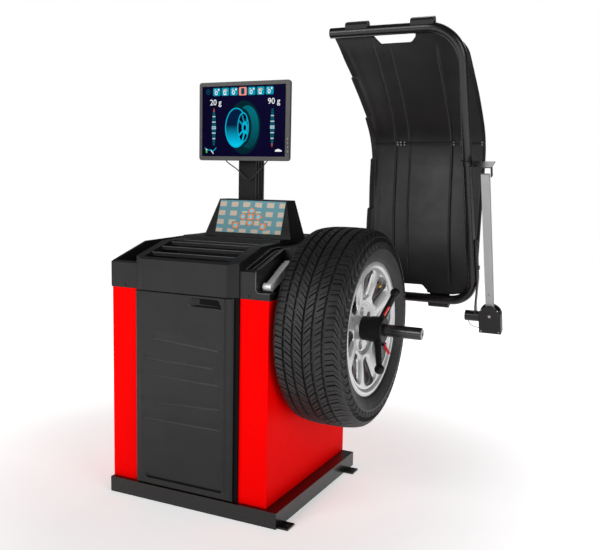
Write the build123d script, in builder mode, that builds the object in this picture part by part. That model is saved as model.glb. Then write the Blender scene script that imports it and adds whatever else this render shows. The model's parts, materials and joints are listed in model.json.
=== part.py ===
"""Car wheel balancer with a mounted wheel, raised guard and width gauge.

Millimetres, +Z up, +X along the spindle away from the cabinet, -Y is the operator's side.
The origin is on the floor under the middle of the base. One STEP file is written per sub-part.
"""

import os
from math import cos, radians, sin, tan

from build123d import *

os.makedirs("parts", exist_ok=True)

# ---------------------------------------------------------------- driving dimensions
BASE_W, BASE_D, BASE_H = 640, 632, 52
BASE_WALL = 4
TAB_OUT, TAB_LONG, TAB_THICK = 36, 50, 6
STRAP_W = 60
FLOOR_HOLE_R = 6
FLOOR_HOLE_OUT = 24
TAB_FRONT_Y, TAB_REAR_Y, TAB_LEFT_Y = -281, 251, -15

CAB_L, CAB_R, CAB_F, CAB_B = -319, 276, -299, 316
CAB_TOP = 725
SHEET = 2

COVER_L, COVER_R, COVER_F = -213, 175, -315
COVER_LOW, COVER_HIGH = 55, 709

SKIRT = 3
TRAY_LOW = 709
TRAY_L, TRAY_R, TRAY_F = CAB_L - SKIRT, CAB_R + SKIRT, CAB_F - SKIRT
TRAY_NOSE = -325
PLATFORM_Z, PLATFORM_F = 872, -40
WELL_FLOOR = 764
POCKET_L, POCKET_B, POCKET_FLOOR = 232, -112, 731

POD_TOP = 1002
COLUMN_X, COLUMN_W = -29, 69
COLUMN_F, COLUMN_B, COLUMN_TOP = 88, 154, 1335

MON_L, MON_R, MON_LOW, MON_HIGH = -198, 165, 1137, 1409
MON_F, MON_JOIN, MON_RIM_B, MON_B = 36, 48, 62, 80
SCREEN_L, SCREEN_R, SCREEN_LOW, SCREEN_HIGH = -186, 148, 1152, 1395

SPINDLE_Z = 598
SHAFT_R, SHAFT_END = 20, 667
TIP_X, GROOVE_R, GROOVE_W = 619, 18.5, 2.5
RUN = 0.08
JOURNAL_R, JOURNAL_L, JOURNAL_R_X = 22.5, 8, 281
HOUSING_L, HOUSING_R_X, HOUSING_R = 0, 290, 55
BEARING_R, BEARING_W = 42.5, 19
HUB_FACE, WHEEL_MID = 442, 402
RIM_FLANGE_R, RIM_SEAT_R = 220.5, 203
TYRE_R = 327.5
HUB_BORE_R, HUB_OUT = 33, 466
BOLT_CIRCLE_R = 56
NUT_L, NUT_R_X, NUT_R = 497.3, 541, 42
CUP_R = 39.5

PULLEY_X, PULLEY_W = -45, 20
SPINDLE_PULLEY_R, MOTOR_PULLEY_R = 75, 25
MOTOR_Z = 300

PIVOT_Y, PIVOT_Z = 440, 647.6
HOOD_LEAN = 20.2
TUBE_R, TUBE_WALL = 16.85, 3
HOOD_X, HOOD_TOP = 720.2, 975
TUBE_START, TUBE_FREE_END = 64, 279.6
BEND_LOW, BEND_HIGH = 85, 110
SHELL_L, SHELL_R_X, SHELL_T = 290, 731, 3
SEAM_S = 522

GAUGE_F = 45
GAUGE_X, GAUGE_S = 791, -21
ARM_W, ARM_T, ARM_END = 28, 12, 505

ROD_Y, ROD_Z, ROD_R = -135, 800, 8
GRIP_Y, GRIP_Z = -262, 746

# ---------------------------------------------------------------- shared frames
SPINDLE = Axis((0, 0, SPINDLE_Z), (1, 0, 0))
LEAN = radians(HOOD_LEAN)
HOOD_UP = Vector(0, -sin(LEAN), cos(LEAN))
HOOD_FRONT = Vector(0, -cos(LEAN), -sin(LEAN))
HOOD_ORIGIN = (0, PIVOT_Y, PIVOT_Z)
# local x runs along X, local y up the raised guard, local z towards the operator
HOOD_FACE = Plane(origin=HOOD_ORIGIN, x_dir=(1, 0, 0), z_dir=HOOD_FRONT)
# local x runs to the back of the guard, local y up it, local z along X
HOOD_SIDE = Plane(origin=HOOD_ORIGIN, x_dir=HOOD_FRONT * -1, z_dir=(1, 0, 0))

FACE_RUN = Vector(0, 43, POD_TOP - PLATFORM_Z).normalized()
FACE_OUT = Vector(0, -FACE_RUN.Z, FACE_RUN.Y)
PAD_MID_Z = 942
PAD_CENTRE = (17, 10 + (PAD_MID_Z - PLATFORM_Z) * FACE_RUN.Y / FACE_RUN.Z, PAD_MID_Z)
PAD = Plane(origin=PAD_CENTRE, x_dir=(1, 0, 0), z_dir=FACE_OUT)


def outline(plane, points):
    """A face on plane with straight sides through points."""
    with BuildSketch(plane) as face:
        with BuildLine():
            Polyline(*points, close=True)
        make_face()
    return face.sketch


def turned(points, y=0, z=SPINDLE_Z):
    """A face of (x, radius) points, to be revolved about a line along X through (y, z)."""
    return outline(Plane.XZ.offset(-y), [(x, z + radius) for x, radius in points])


def upright(x_low, x_high, y_low, y_high, z):
    """A rectangle on the level z between the given sides."""
    corners = [(x_low, y_low), (x_high, y_low), (x_high, y_high), (x_low, y_high)]
    return outline(Plane.XY.offset(z), corners)


# ---------------------------------------------------------------- base and cabinet
TABS = [
    (BASE_W / 2 + TAB_OUT / 2, TAB_FRONT_Y),
    (BASE_W / 2 + TAB_OUT / 2, TAB_REAR_Y),
    (-BASE_W / 2 - TAB_OUT / 2, TAB_LEFT_Y),
]
FLOOR_HOLES = [
    (BASE_W / 2 + FLOOR_HOLE_OUT, TAB_FRONT_Y),
    (BASE_W / 2 + FLOOR_HOLE_OUT, TAB_REAR_Y),
    (-BASE_W / 2 - FLOOR_HOLE_OUT, TAB_LEFT_Y),
]

with BuildPart() as base_frame:
    with BuildSketch(Plane.XY):
        Rectangle(BASE_W, BASE_D)
    extrude(amount=BASE_H)
    with BuildSketch(Plane.XY):
        Rectangle(BASE_W - 2 * BASE_WALL, BASE_D - 2 * BASE_WALL)
    extrude(amount=BASE_H - BASE_WALL, mode=Mode.SUBTRACT)
    with BuildSketch(Plane.XY):
        with Locations(*TABS):
            Rectangle(TAB_OUT, TAB_LONG)
    extrude(amount=TAB_THICK)
    with BuildSketch(Plane.XY):
        Rectangle(STRAP_W, BASE_D - BASE_WALL)
    extrude(amount=TAB_THICK)
    with BuildSketch(Plane.XY):
        with Locations(*FLOOR_HOLES):
            Circle(FLOOR_HOLE_R)
    extrude(amount=TAB_THICK, mode=Mode.SUBTRACT)

FRONT_OPEN = (COVER_L + 8, COVER_R - 8, 72)
REAR_OPEN = (-285, 40, 90, 690)

with BuildPart() as cabinet_shell:
    extrude(upright(CAB_L, CAB_R, CAB_F, CAB_B, BASE_H), amount=CAB_TOP - BASE_H)
    inside = upright(CAB_L + SHEET, CAB_R - SHEET, CAB_F + SHEET, CAB_B - SHEET, BASE_H)
    extrude(inside, amount=CAB_TOP - BASE_H, mode=Mode.SUBTRACT)
    front_open = upright(FRONT_OPEN[0], FRONT_OPEN[1], CAB_F, CAB_F + SHEET, FRONT_OPEN[2])
    extrude(front_open, amount=CAB_TOP, mode=Mode.SUBTRACT)
    rear_open = upright(REAR_OPEN[0], REAR_OPEN[1], CAB_B - SHEET, CAB_B, REAR_OPEN[2])
    extrude(rear_open, amount=REAR_OPEN[3] - REAR_OPEN[2], mode=Mode.SUBTRACT)
    with BuildSketch(Plane.YZ.offset(CAB_R - SHEET)):
        with Locations((0, SPINDLE_Z)):
            Circle(HOUSING_R + 5)
    extrude(amount=SHEET, mode=Mode.SUBTRACT)

INLET_X, INLET_Z = -210, 150
MODULE_W, MODULE_H = 78, 50

with BuildPart() as rear_panel:
    panel = upright(REAR_OPEN[0] - 12, REAR_OPEN[1] + 12, CAB_B, CAB_B + SHEET, REAR_OPEN[2] - 12)
    extrude(panel, amount=REAR_OPEN[3] - REAR_OPEN[2] + 24)
    cut = upright(INLET_X - 35, INLET_X + 35, CAB_B, CAB_B + SHEET, INLET_Z - 21)
    extrude(cut, amount=42, mode=Mode.SUBTRACT)
    with BuildSketch(Plane.XZ.offset(-CAB_B - SHEET)):
        with Locations((-120, 560)):
            with GridLocations(0, 14, 1, 9):
                SlotOverall(200, 6)
    extrude(amount=SHEET, mode=Mode.SUBTRACT)

with BuildPart() as front_cover:
    extrude(upright(COVER_L, COVER_R, COVER_F, CAB_F, COVER_LOW), amount=COVER_HIGH - COVER_LOW)
    with BuildSketch(Plane.XZ.offset(-COVER_F)):
        with Locations(((COVER_L + 17 + COVER_R - 43) / 2, 378)):
            Rectangle(COVER_R - COVER_L - 60, 596)
    extrude(amount=4)
    chamfer(front_cover.faces().sort_by(Axis.Y)[0].edges(), length=3)
    hollow = upright(COVER_L + 3, COVER_R - 3, COVER_F + 3, CAB_F, COVER_LOW + 3)
    extrude(hollow, amount=COVER_HIGH - COVER_LOW - 6, mode=Mode.SUBTRACT)
    grip = outline(Plane.XZ.offset(-COVER_F), [(22, 700), (134, 700), (146, 678), (34, 684)])
    extrude(grip, amount=-3, mode=Mode.SUBTRACT)
    with BuildSketch(Plane.XZ.offset(-COVER_F + 6)):
        with Locations((-22, 96)):
            Rectangle(300, 8)
    extrude(amount=-10, mode=Mode.SUBTRACT)

# ---------------------------------------------------------------- weight tray
SIDE_PROFILE = [
    (TRAY_F, TRAY_LOW),
    (TRAY_F, 793),
    (TRAY_F + 12, 798),
    (-120, 850),
    (CAB_B, 860),
    (CAB_B, TRAY_LOW),
]
NOSE_PROFILE = [
    (TRAY_NOSE, TRAY_LOW + 2),
    (TRAY_NOSE, 812),
    (TRAY_NOSE + 8, 816),
    (-165, 860),
    (PLATFORM_F, 864),
    (PLATFORM_F, PLATFORM_Z),
    (CAB_B, PLATFORM_Z),
    (CAB_B, TRAY_LOW + 2),
]
WELL_L, WELL_R_X, WELL_F, WELL_B = -183, 138, -308, PLATFORM_F - 6
WELL = [(WELL_L, WELL_F), (WELL_R_X, WELL_F), (WELL_R_X, WELL_B), (-110, WELL_B), (WELL_L, -120)]
BAR_DEPTH, BAR_HEIGHT = 8, 12
BARS = [(-262, 830), (-208, 845), (-154, 857), (-100, 860)]
NOSE_CORNERS = [
    [(COVER_L - 1, TRAY_NOSE - 1), (COVER_L + 34, TRAY_NOSE - 1), (COVER_L - 1, TRAY_NOSE + 18)],
    [(COVER_R + 1, TRAY_NOSE - 1), (COVER_R - 36, TRAY_NOSE - 1), (COVER_R + 1, TRAY_NOSE + 18)],
]

TROUGH_L, TROUGH_W = 188, 38
TROUGH_RIDGES = (199, 212)
UNDER_HOLLOWS = [(COVER_L + 6, COVER_R - 6, PLATFORM_F + 2, PLATFORM_Z - 5), (COVER_R, CAB_R - 8, -40, 835)]

with BuildPart() as tray:
    extrude(outline(Plane.YZ.offset(TRAY_L), SIDE_PROFILE), amount=TRAY_R - TRAY_L)
    extrude(outline(Plane.YZ.offset(COVER_L), NOSE_PROFILE), amount=COVER_R - COVER_L)
    for corner in NOSE_CORNERS:
        extrude(outline(Plane.XY.offset(TRAY_LOW), corner), amount=160, mode=Mode.SUBTRACT)
    seat = upright(CAB_L, CAB_R, CAB_F, CAB_B, TRAY_LOW)
    extrude(seat, amount=CAB_TOP - TRAY_LOW, mode=Mode.SUBTRACT)
    under = upright(CAB_L + 10, POCKET_L - 10, CAB_F + 10, CAB_B - 16, TRAY_LOW)
    extrude(under, amount=WELL_FLOOR - 6 - TRAY_LOW, mode=Mode.SUBTRACT)
    for left, right, front, top in UNDER_HOLLOWS:
        hollow = upright(left, right, front, CAB_B - 16, TRAY_LOW)
        extrude(hollow, amount=top - TRAY_LOW, mode=Mode.SUBTRACT)
    extrude(upright(TRAY_L + 8, COVER_L - 5, TRAY_F + 12, 240, WELL_FLOOR), amount=140, mode=Mode.SUBTRACT)
    extrude(outline(Plane.XY.offset(WELL_FLOOR), WELL), amount=140, mode=Mode.SUBTRACT)
    for bar_y, bar_top in BARS:
        bar = upright(WELL_L - 5, WELL_R_X + 5, bar_y - BAR_DEPTH / 2, bar_y + BAR_DEPTH / 2, bar_top)
        extrude(bar, amount=-BAR_HEIGHT)
    trough = [(-286, 786), (-120, 837), (-60, 840), (-60, 900), (-286, 900)]
    extrude(outline(Plane.YZ.offset(TROUGH_L), trough), amount=TROUGH_W, mode=Mode.SUBTRACT)
    ridge = [(-286, 784), (-120, 835), (-60, 838), (-60, 846), (-120, 843), (-286, 792)]
    for ridge_x in TROUGH_RIDGES:
        extrude(outline(Plane.YZ.offset(ridge_x), ridge), amount=3)
    pocket = upright(POCKET_L, TRAY_R + 1, TRAY_F - 1, POCKET_B, POCKET_FLOOR)
    extrude(pocket, amount=160, mode=Mode.SUBTRACT)
    with BuildSketch(Plane.YZ.offset(WELL_R_X + 2)):
        with Locations((ROD_Y, ROD_Z)):
            Circle(ROD_R + RUN)
    extrude(amount=POCKET_L - WELL_R_X, mode=Mode.SUBTRACT)
    inner_corner = tray.edges().filter_by(Axis.Y).filter_by_position(Axis.X, POCKET_L - 1, POCKET_L + 1)
    fillet(inner_corner.sort_by(Axis.Z)[0], radius=8)

# ---------------------------------------------------------------- keypad
POD_LOW_SIDES = (-156, 189, 10, 122)
POD_TOP_SIDES = (-119, 150, 53, 117)
POD_WALL = 3.5
COLUMN_L, COLUMN_R = COLUMN_X - COLUMN_W / 2, COLUMN_X + COLUMN_W / 2
FOOT_SIDES = (COLUMN_L - 12, COLUMN_R + 12, COLUMN_F - 8, COLUMN_B + 6)
FOOT_T = 6
PAD_W, PAD_H, PAD_T = 262, 118, 1
KEY_HALF_W, KEY_HALF_H = 12, 11
KEY_IN, KEY_OUT = -5, 1.2
KEY_GAP = 0.35
KEYS = {
    "key_up": (3, 22, "up"),
    "key_left": (-28, 0, "left"),
    "key_enter": (3, 0, "square"),
    "key_right": (34, 0, "right"),
    "key_down": (3, -22, "down"),
    "key_stop": (-52, -33, "square"),
    "key_start": (57, -33, "square"),
}
SQUARE_KEY = [
    (-KEY_HALF_W, -KEY_HALF_H),
    (KEY_HALF_W, -KEY_HALF_H),
    (KEY_HALF_W, KEY_HALF_H),
    (-KEY_HALF_W, KEY_HALF_H),
]
ARROW_KEY = [(-13, -8), (13, -8), (13, 3), (0, 13), (-13, 3)]
SIDE_KEY = [(-9, -KEY_HALF_H), (4, -KEY_HALF_H), (15, 0), (4, KEY_HALF_H), (-9, KEY_HALF_H)]
KEY_SHAPES = {
    "square": SQUARE_KEY,
    "up": ARROW_KEY,
    "down": [(x, -y) for x, y in ARROW_KEY],
    "right": SIDE_KEY,
    "left": [(-x, y) for x, y in SIDE_KEY],
}


def key_face(name, depth, grow):
    """The outline of one key on the keypad's slope, depth below it and grow wider all round."""
    across, up, shape = KEYS[name]
    with BuildSketch(PAD.offset(depth)) as face:
        with Locations((across, up)):
            Polygon(*KEY_SHAPES[shape], align=None)
        fillet(face.vertices(), radius=2)
        if grow:
            offset(amount=grow)
    return face.sketch


with BuildPart() as keypad_housing:
    low = upright(*POD_LOW_SIDES, PLATFORM_Z)
    high = upright(*POD_TOP_SIDES, POD_TOP)
    loft([low.face(), high.face()])
    bottom = keypad_housing.faces().sort_by(Axis.Z)[0]
    offset(amount=-POD_WALL, openings=bottom)
    with BuildSketch(PAD.offset(-PAD_T)):
        Rectangle(PAD_W, PAD_H)
    extrude(amount=PAD_T, mode=Mode.SUBTRACT)
    column_notch = upright(COLUMN_L - 1, COLUMN_R + 1, COLUMN_F - 1, COLUMN_B, PLATFORM_Z)
    extrude(column_notch, amount=POD_TOP - PLATFORM_Z + 1, mode=Mode.SUBTRACT)
    foot_notch = upright(FOOT_SIDES[0] - 1, FOOT_SIDES[1] + 1, FOOT_SIDES[2] - 1, FOOT_SIDES[3], PLATFORM_Z)
    extrude(foot_notch, amount=FOOT_T + 2, mode=Mode.SUBTRACT)
    for key_name in KEYS:
        extrude(key_face(key_name, -6, KEY_GAP), amount=6, mode=Mode.SUBTRACT)

with BuildPart() as keypad_membrane:
    with BuildSketch(PAD.offset(-PAD_T)):
        Rectangle(PAD_W, PAD_H)
    extrude(amount=PAD_T)
    for key_name in KEYS:
        extrude(key_face(key_name, -PAD_T, KEY_GAP), amount=PAD_T, mode=Mode.SUBTRACT)

key_parts = {}
for key_name in KEYS:
    with BuildPart() as key:
        extrude(key_face(key_name, KEY_IN, 0), amount=KEY_OUT - KEY_IN)
    key_parts[key_name] = key

# ---------------------------------------------------------------- column and monitor
CABLE_R = 2
COLUMN_GLAND = (COLUMN_R, 120, 1200)
MONITOR_GLAND = (-118, 71, 1175)
GLAND_LONG = 6

with BuildPart() as monitor_column:
    extrude(upright(COLUMN_L, COLUMN_R, COLUMN_F, COLUMN_B, PLATFORM_Z), amount=COLUMN_TOP - PLATFORM_Z)
    tube = upright(COLUMN_L + 4, COLUMN_R - 4, COLUMN_F + 4, COLUMN_B - 4, PLATFORM_Z)
    extrude(tube, amount=COLUMN_TOP - PLATFORM_Z - 4, mode=Mode.SUBTRACT)
    extrude(upright(*FOOT_SIDES, PLATFORM_Z), amount=FOOT_T)
    for groove_y in (COLUMN_F + 16, COLUMN_F + 44):
        groove = upright(COLUMN_R - 2, COLUMN_R + 1, groove_y, groove_y + 7, PLATFORM_Z + 20)
        extrude(groove, amount=COLUMN_TOP, mode=Mode.SUBTRACT)
    with BuildSketch(Plane.YZ.offset(COLUMN_GLAND[0] - 3)):
        with Locations(COLUMN_GLAND[1:]):
            Circle(2.2 * CABLE_R)
    extrude(amount=GLAND_LONG + 3)

with BuildPart() as monitor_bracket:
    extrude(upright(COLUMN_X - 60, COLUMN_X + 60, MON_B, MON_B + 4, 1210), amount=120)
    extrude(upright(COLUMN_L, COLUMN_R, MON_B + 4, COLUMN_F, 1225), amount=90)
    with BuildSketch(Plane.XZ.offset(-MON_B - 4)):
        with Locations((COLUMN_X, 1270)):
            with GridLocations(100, 100, 2, 2):
                Circle(4)
    extrude(amount=-3)

with BuildPart() as monitor_back:
    extrude(upright(MON_L + 4, MON_R - 4, MON_JOIN, MON_RIM_B, MON_LOW + 4), amount=MON_HIGH - MON_LOW - 8)
    rim_edges = monitor_back.edges().filter_by_position(Axis.Y, MON_RIM_B - 0.1, MON_RIM_B + 0.1)
    chamfer(rim_edges, length=10)
    bulge = upright(-155, 125, MON_RIM_B, MON_B, MONITOR_GLAND[2])
    extrude(bulge, amount=197)
    back_edges = monitor_back.edges().filter_by_position(Axis.Y, MON_B - 0.1, MON_B + 0.1)
    chamfer(back_edges, length=8)
    hollow = upright(MON_L + 14, MON_R - 14, MON_JOIN, MON_RIM_B - 3, MON_LOW + 14)
    extrude(hollow, amount=MON_HIGH - MON_LOW - 28, mode=Mode.SUBTRACT)
    with BuildSketch(Plane.XY.offset(MONITOR_GLAND[2] - GLAND_LONG)):
        with Locations(MONITOR_GLAND[:2]):
            Circle(2.2 * CABLE_R)
    extrude(amount=GLAND_LONG + 3)

BUTTON_X, BUTTON_W, BUTTON_H, BUTTON_GAP = 158, 5, 8, 0.3
BUTTON_LEVELS = (1212, 1198, 1184, 1170)

with BuildPart() as monitor_bezel:
    extrude(upright(MON_L, MON_R, MON_F, MON_JOIN, MON_LOW), amount=MON_HIGH - MON_LOW)
    fillet(monitor_bezel.edges().filter_by(Axis.Y), radius=10)
    window = upright(SCREEN_L, SCREEN_R, MON_F, MON_JOIN, SCREEN_LOW)
    extrude(window, amount=SCREEN_HIGH - SCREEN_LOW, mode=Mode.SUBTRACT)
    seat = upright(SCREEN_L - 5, SCREEN_R + 5, MON_F + 4, MON_JOIN, SCREEN_LOW - 5)
    extrude(seat, amount=SCREEN_HIGH - SCREEN_LOW + 10, mode=Mode.SUBTRACT)
    with BuildSketch(Plane.XZ.offset(-MON_F)):
        with Locations(*[(BUTTON_X, level) for level in BUTTON_LEVELS]):
            Rectangle(BUTTON_W + 2 * BUTTON_GAP, BUTTON_H + 2 * BUTTON_GAP)
    extrude(amount=-(MON_JOIN - MON_F), mode=Mode.SUBTRACT)

with BuildPart() as screen_panel:
    panel = upright(SCREEN_L - 4.5, SCREEN_R + 4.5, MON_F + 4.2, MON_JOIN - 1, SCREEN_LOW - 4.5)
    extrude(panel, amount=SCREEN_HIGH - SCREEN_LOW + 9)

button_parts = {}
for number, level in enumerate(BUTTON_LEVELS, start=1):
    with BuildPart() as button:
        face = upright(
            BUTTON_X - BUTTON_W / 2, BUTTON_X + BUTTON_W / 2, MON_F - 1, MON_F + 9, level - BUTTON_H / 2
        )
        extrude(face, amount=BUTTON_H)
    button_parts[f"monitor_button_{number}"] = button

# the route is repeated by the looks script, so its points stay a hand-made list
CABLE_ROUTE = [
    (MONITOR_GLAND[0], MONITOR_GLAND[1], MONITOR_GLAND[2] - GLAND_LONG),
    (MONITOR_GLAND[0], MONITOR_GLAND[1], 1140),
    (-56, 74, 1106),
    (-16, 76, 1062),
    (24, 78, 1104),
    (62, 96, 1150),
    (52, COLUMN_GLAND[1], COLUMN_GLAND[2]),
    (COLUMN_GLAND[0] + GLAND_LONG, COLUMN_GLAND[1], COLUMN_GLAND[2]),
]


def bend_radii(points):
    """The largest arcs that fit the corners of a route, each taking 0.45 of the shorter run beside it."""
    spots = [Vector(*point) for point in points]
    radii = []
    for before, at, after in zip(spots, spots[1:], spots[2:]):
        half_turn = radians((at - before).get_angle(after - at) / 2)
        radii.append(0.45 * min((at - before).length, (after - at).length) / tan(half_turn))
    return radii


def corded(points, radius):
    """A round cord along points, with its corners rounded by bend_radii."""
    with BuildPart() as cord:
        with BuildLine():
            route = FilletPolyline(*points, radius=bend_radii(points))
        with BuildSketch(Plane(origin=route @ 0, z_dir=route % 0)):
            Circle(radius)
        sweep()
    return cord


monitor_cable = corded(CABLE_ROUTE, CABLE_R)
print("monitor_cable bends", [round(value, 1) for value in bend_radii(CABLE_ROUTE)])

# ---------------------------------------------------------------- spindle and drive
with BuildPart() as spindle_shaft:
    profile = [
        (-60, 0),
        (-60, SHAFT_R),
        (JOURNAL_L, SHAFT_R),
        (JOURNAL_L, JOURNAL_R),
        (JOURNAL_R_X, JOURNAL_R),
        (JOURNAL_R_X, SHAFT_R),
        (TIP_X - GROOVE_W, SHAFT_R),
        (TIP_X - GROOVE_W, GROOVE_R),
        (TIP_X, GROOVE_R),
        (TIP_X, SHAFT_R),
        (SHAFT_END - 3, SHAFT_R),
        (SHAFT_END, SHAFT_R - 3),
        (SHAFT_END, 6),
        (SHAFT_END - 12, 0),
    ]
    revolve(turned(profile), axis=SPINDLE)

with BuildPart() as spindle_pulley:
    profile = [
        (PULLEY_X - 8, SHAFT_R),
        (PULLEY_X - 8, SPINDLE_PULLEY_R + 12),
        (PULLEY_X - 5, SPINDLE_PULLEY_R + 12),
        (PULLEY_X - 5, 40),
        (PULLEY_X, 40),
        (PULLEY_X, SPINDLE_PULLEY_R),
        (PULLEY_X + PULLEY_W, SPINDLE_PULLEY_R),
        (PULLEY_X + PULLEY_W, SHAFT_R),
    ]
    revolve(turned(profile), axis=SPINDLE)
    with BuildSketch(Plane.YZ.offset(PULLEY_X - 8)):
        with Locations((0, SPINDLE_Z)):
            with PolarLocations(SPINDLE_PULLEY_R + 7, 32):
                Rectangle(6, 3)
    extrude(amount=3, mode=Mode.SUBTRACT)

with BuildPart() as bearing_housing:
    profile = [
        (HOUSING_L, BEARING_R),
        (HOUSING_L, HOUSING_R),
        (HOUSING_R_X, HOUSING_R),
        (HOUSING_R_X, BEARING_R),
        (JOURNAL_R_X - BEARING_W - 1, BEARING_R),
        (JOURNAL_R_X - BEARING_W - 1, 36),
        (JOURNAL_L + BEARING_W + 1, 36),
        (JOURNAL_L + BEARING_W + 1, BEARING_R),
    ]
    revolve(turned(profile), axis=SPINDLE)

with BuildPart() as spindle_bearings:
    for left in (JOURNAL_L + 1, JOURNAL_R_X - BEARING_W - 1):
        profile = [
            (left, JOURNAL_R + 0.05),
            (left, BEARING_R),
            (left + BEARING_W, BEARING_R),
            (left + BEARING_W, JOURNAL_R + 0.05),
        ]
        revolve(turned(profile), axis=SPINDLE)

UPRIGHTS = (14, 200)
PLATE_T, PLATE_HALF = 8, 90
CROSS_TOP = SPINDLE_Z - HOUSING_R - 14

with BuildPart() as support_bracket:
    extrude(upright(0, 230, -PLATE_HALF - 15, PLATE_HALF + 15, BASE_H), amount=6)
    for left in UPRIGHTS:
        plate = upright(left, left + PLATE_T, -PLATE_HALF, PLATE_HALF, BASE_H + 6)
        extrude(plate, amount=SPINDLE_Z + HOUSING_R + 15 - BASE_H - 6)
    extrude(upright(UPRIGHTS[0], UPRIGHTS[1], -40, 40, CROSS_TOP - PLATE_T), amount=PLATE_T)
    with BuildSketch(Plane.YZ):
        with Locations((0, SPINDLE_Z)):
            Circle(HOUSING_R)
        with Locations((0, MOTOR_Z)):
            Circle(30)
    extrude(amount=UPRIGHTS[0] + PLATE_T, mode=Mode.SUBTRACT)
    with BuildSketch(Plane.YZ.offset(UPRIGHTS[1])):
        with Locations((0, SPINDLE_Z)):
            Circle(HOUSING_R)
    extrude(amount=PLATE_T, mode=Mode.SUBTRACT)

with BuildPart() as piezo_sensors:
    with BuildSketch(Plane.XY.offset(CROSS_TOP)):
        with Locations((65, 0), (160, 0)):
            Circle(14)
    extrude(amount=SPINDLE_Z - HOUSING_R - CROSS_TOP)

MOTOR_R, MOTOR_L, MOTOR_R_X = 63, UPRIGHTS[0] + PLATE_T, 178
MOTOR_SHAFT_R = 9

with BuildPart() as drive_motor:
    profile = [
        (MOTOR_L, MOTOR_SHAFT_R + RUN),
        (MOTOR_L, 75),
        (MOTOR_L + 9, 75),
        (MOTOR_L + 9, MOTOR_R),
        (MOTOR_R_X - 6, MOTOR_R),
        (MOTOR_R_X, MOTOR_R - 8),
        (MOTOR_R_X, 0),
        (MOTOR_L + 60, 0),
        (MOTOR_L + 60, MOTOR_SHAFT_R + RUN),
    ]
    revolve(turned(profile, z=MOTOR_Z), axis=Axis((0, 0, MOTOR_Z), (1, 0, 0)))
    extrude(upright(60, 140, -80, -50, MOTOR_Z - 25), amount=50)

with BuildPart() as motor_pulley:
    profile = [
        (PULLEY_X - 3, 0),
        (PULLEY_X - 3, MOTOR_PULLEY_R + 4),
        (PULLEY_X - 0.5, MOTOR_PULLEY_R + 4),
        (PULLEY_X - 0.5, MOTOR_PULLEY_R),
        (PULLEY_X + PULLEY_W + 0.5, MOTOR_PULLEY_R),
        (PULLEY_X + PULLEY_W + 0.5, MOTOR_PULLEY_R + 4),
        (PULLEY_X + PULLEY_W + 3, MOTOR_PULLEY_R + 4),
        (PULLEY_X + PULLEY_W + 3, MOTOR_SHAFT_R),
        (MOTOR_L + 55, MOTOR_SHAFT_R),
        (MOTOR_L + 55, 0),
    ]
    revolve(turned(profile, z=MOTOR_Z), axis=Axis((0, 0, MOTOR_Z), (1, 0, 0)))

BELT_T, BELT_GAP = 3, 0.3


def belt_loop(gap):
    """The stadium-shaped outline round both pulleys, gap outside them."""
    with BuildSketch(Plane.YZ.offset(PULLEY_X + 1)) as loop:
        with BuildLine():
            big = CenterArc((0, SPINDLE_Z), SPINDLE_PULLEY_R + gap, -10, 200)
            small = CenterArc((0, MOTOR_Z), MOTOR_PULLEY_R + gap, 190, 160)
            Line(big @ 0, small @ 1)
            Line(big @ 1, small @ 0)
        make_face()
    return loop.sketch


with BuildPart() as drive_belt:
    extrude(belt_loop(BELT_GAP + BELT_T), amount=PULLEY_W - 2)
    extrude(belt_loop(BELT_GAP), amount=PULLEY_W - 2, mode=Mode.SUBTRACT)

# ---------------------------------------------------------------- wheel on its flange
RECESS_L, RECESS_R = 390, 43

with BuildPart() as wheel_flange:
    profile = [
        (HOUSING_R_X + 4, SHAFT_R),
        (HOUSING_R_X + 4, 48),
        (HOUSING_R_X + 16, 56),
        (HUB_FACE - 12, 56),
        (HUB_FACE - 12, 98),
        (HUB_FACE - 10, 100),
        (HUB_FACE, 100),
        (HUB_FACE, RECESS_R),
        (RECESS_L, RECESS_R),
        (RECESS_L, SHAFT_R),
    ]
    revolve(turned(profile), axis=SPINDLE)

with BuildPart() as cone_spring:
    with BuildLine():
        coil = Helix(pitch=9, height=27, radius=31, center=(RECESS_L + 3, 0, SPINDLE_Z), direction=(1, 0, 0))
    with BuildSketch(Plane(origin=coil @ 0, z_dir=coil % 0)):
        Circle(2)
    sweep(is_frenet=True)

with BuildPart() as centring_cone:
    profile = [(424, SHAFT_R + 0.05), (424, 39.8), (428, 39.8), (450, 28.8), (450, SHAFT_R + 0.05)]
    revolve(turned(profile), axis=SPINDLE)

RIM_HALF = [
    (300, 214),
    (300, 219),
    (302, RIM_FLANGE_R),
    (306, RIM_FLANGE_R),
    (309, 212),
    (311, RIM_SEAT_R),
    (333, RIM_SEAT_R + 1),
    (337, RIM_SEAT_R + 3),
    (346, 196),
    (362, 183),
]
BARREL_INSIDE = [
    (440, 177),
    (456, 189),
    (467, 198),
    (492, 196.5),
    (499, 199),
    (504, 206),
]
OPENING_PHASE, OPENINGS = 5, 8
DISC = [
    (HUB_FACE, HUB_BORE_R),
    (HUB_OUT, HUB_BORE_R),
    (HUB_OUT, 76),
    (472, 84),
    (486, 150),
    (494, 197.5),
    (476, 197.5),
    (466, 150),
    (450, 88),
    (HUB_FACE, 84),
]


def mirrored(points):
    """The same points on the other side of the wheel's middle plane, in reverse order."""
    return [(2 * WHEEL_MID - x, radius) for x, radius in reversed(points)]


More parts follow.
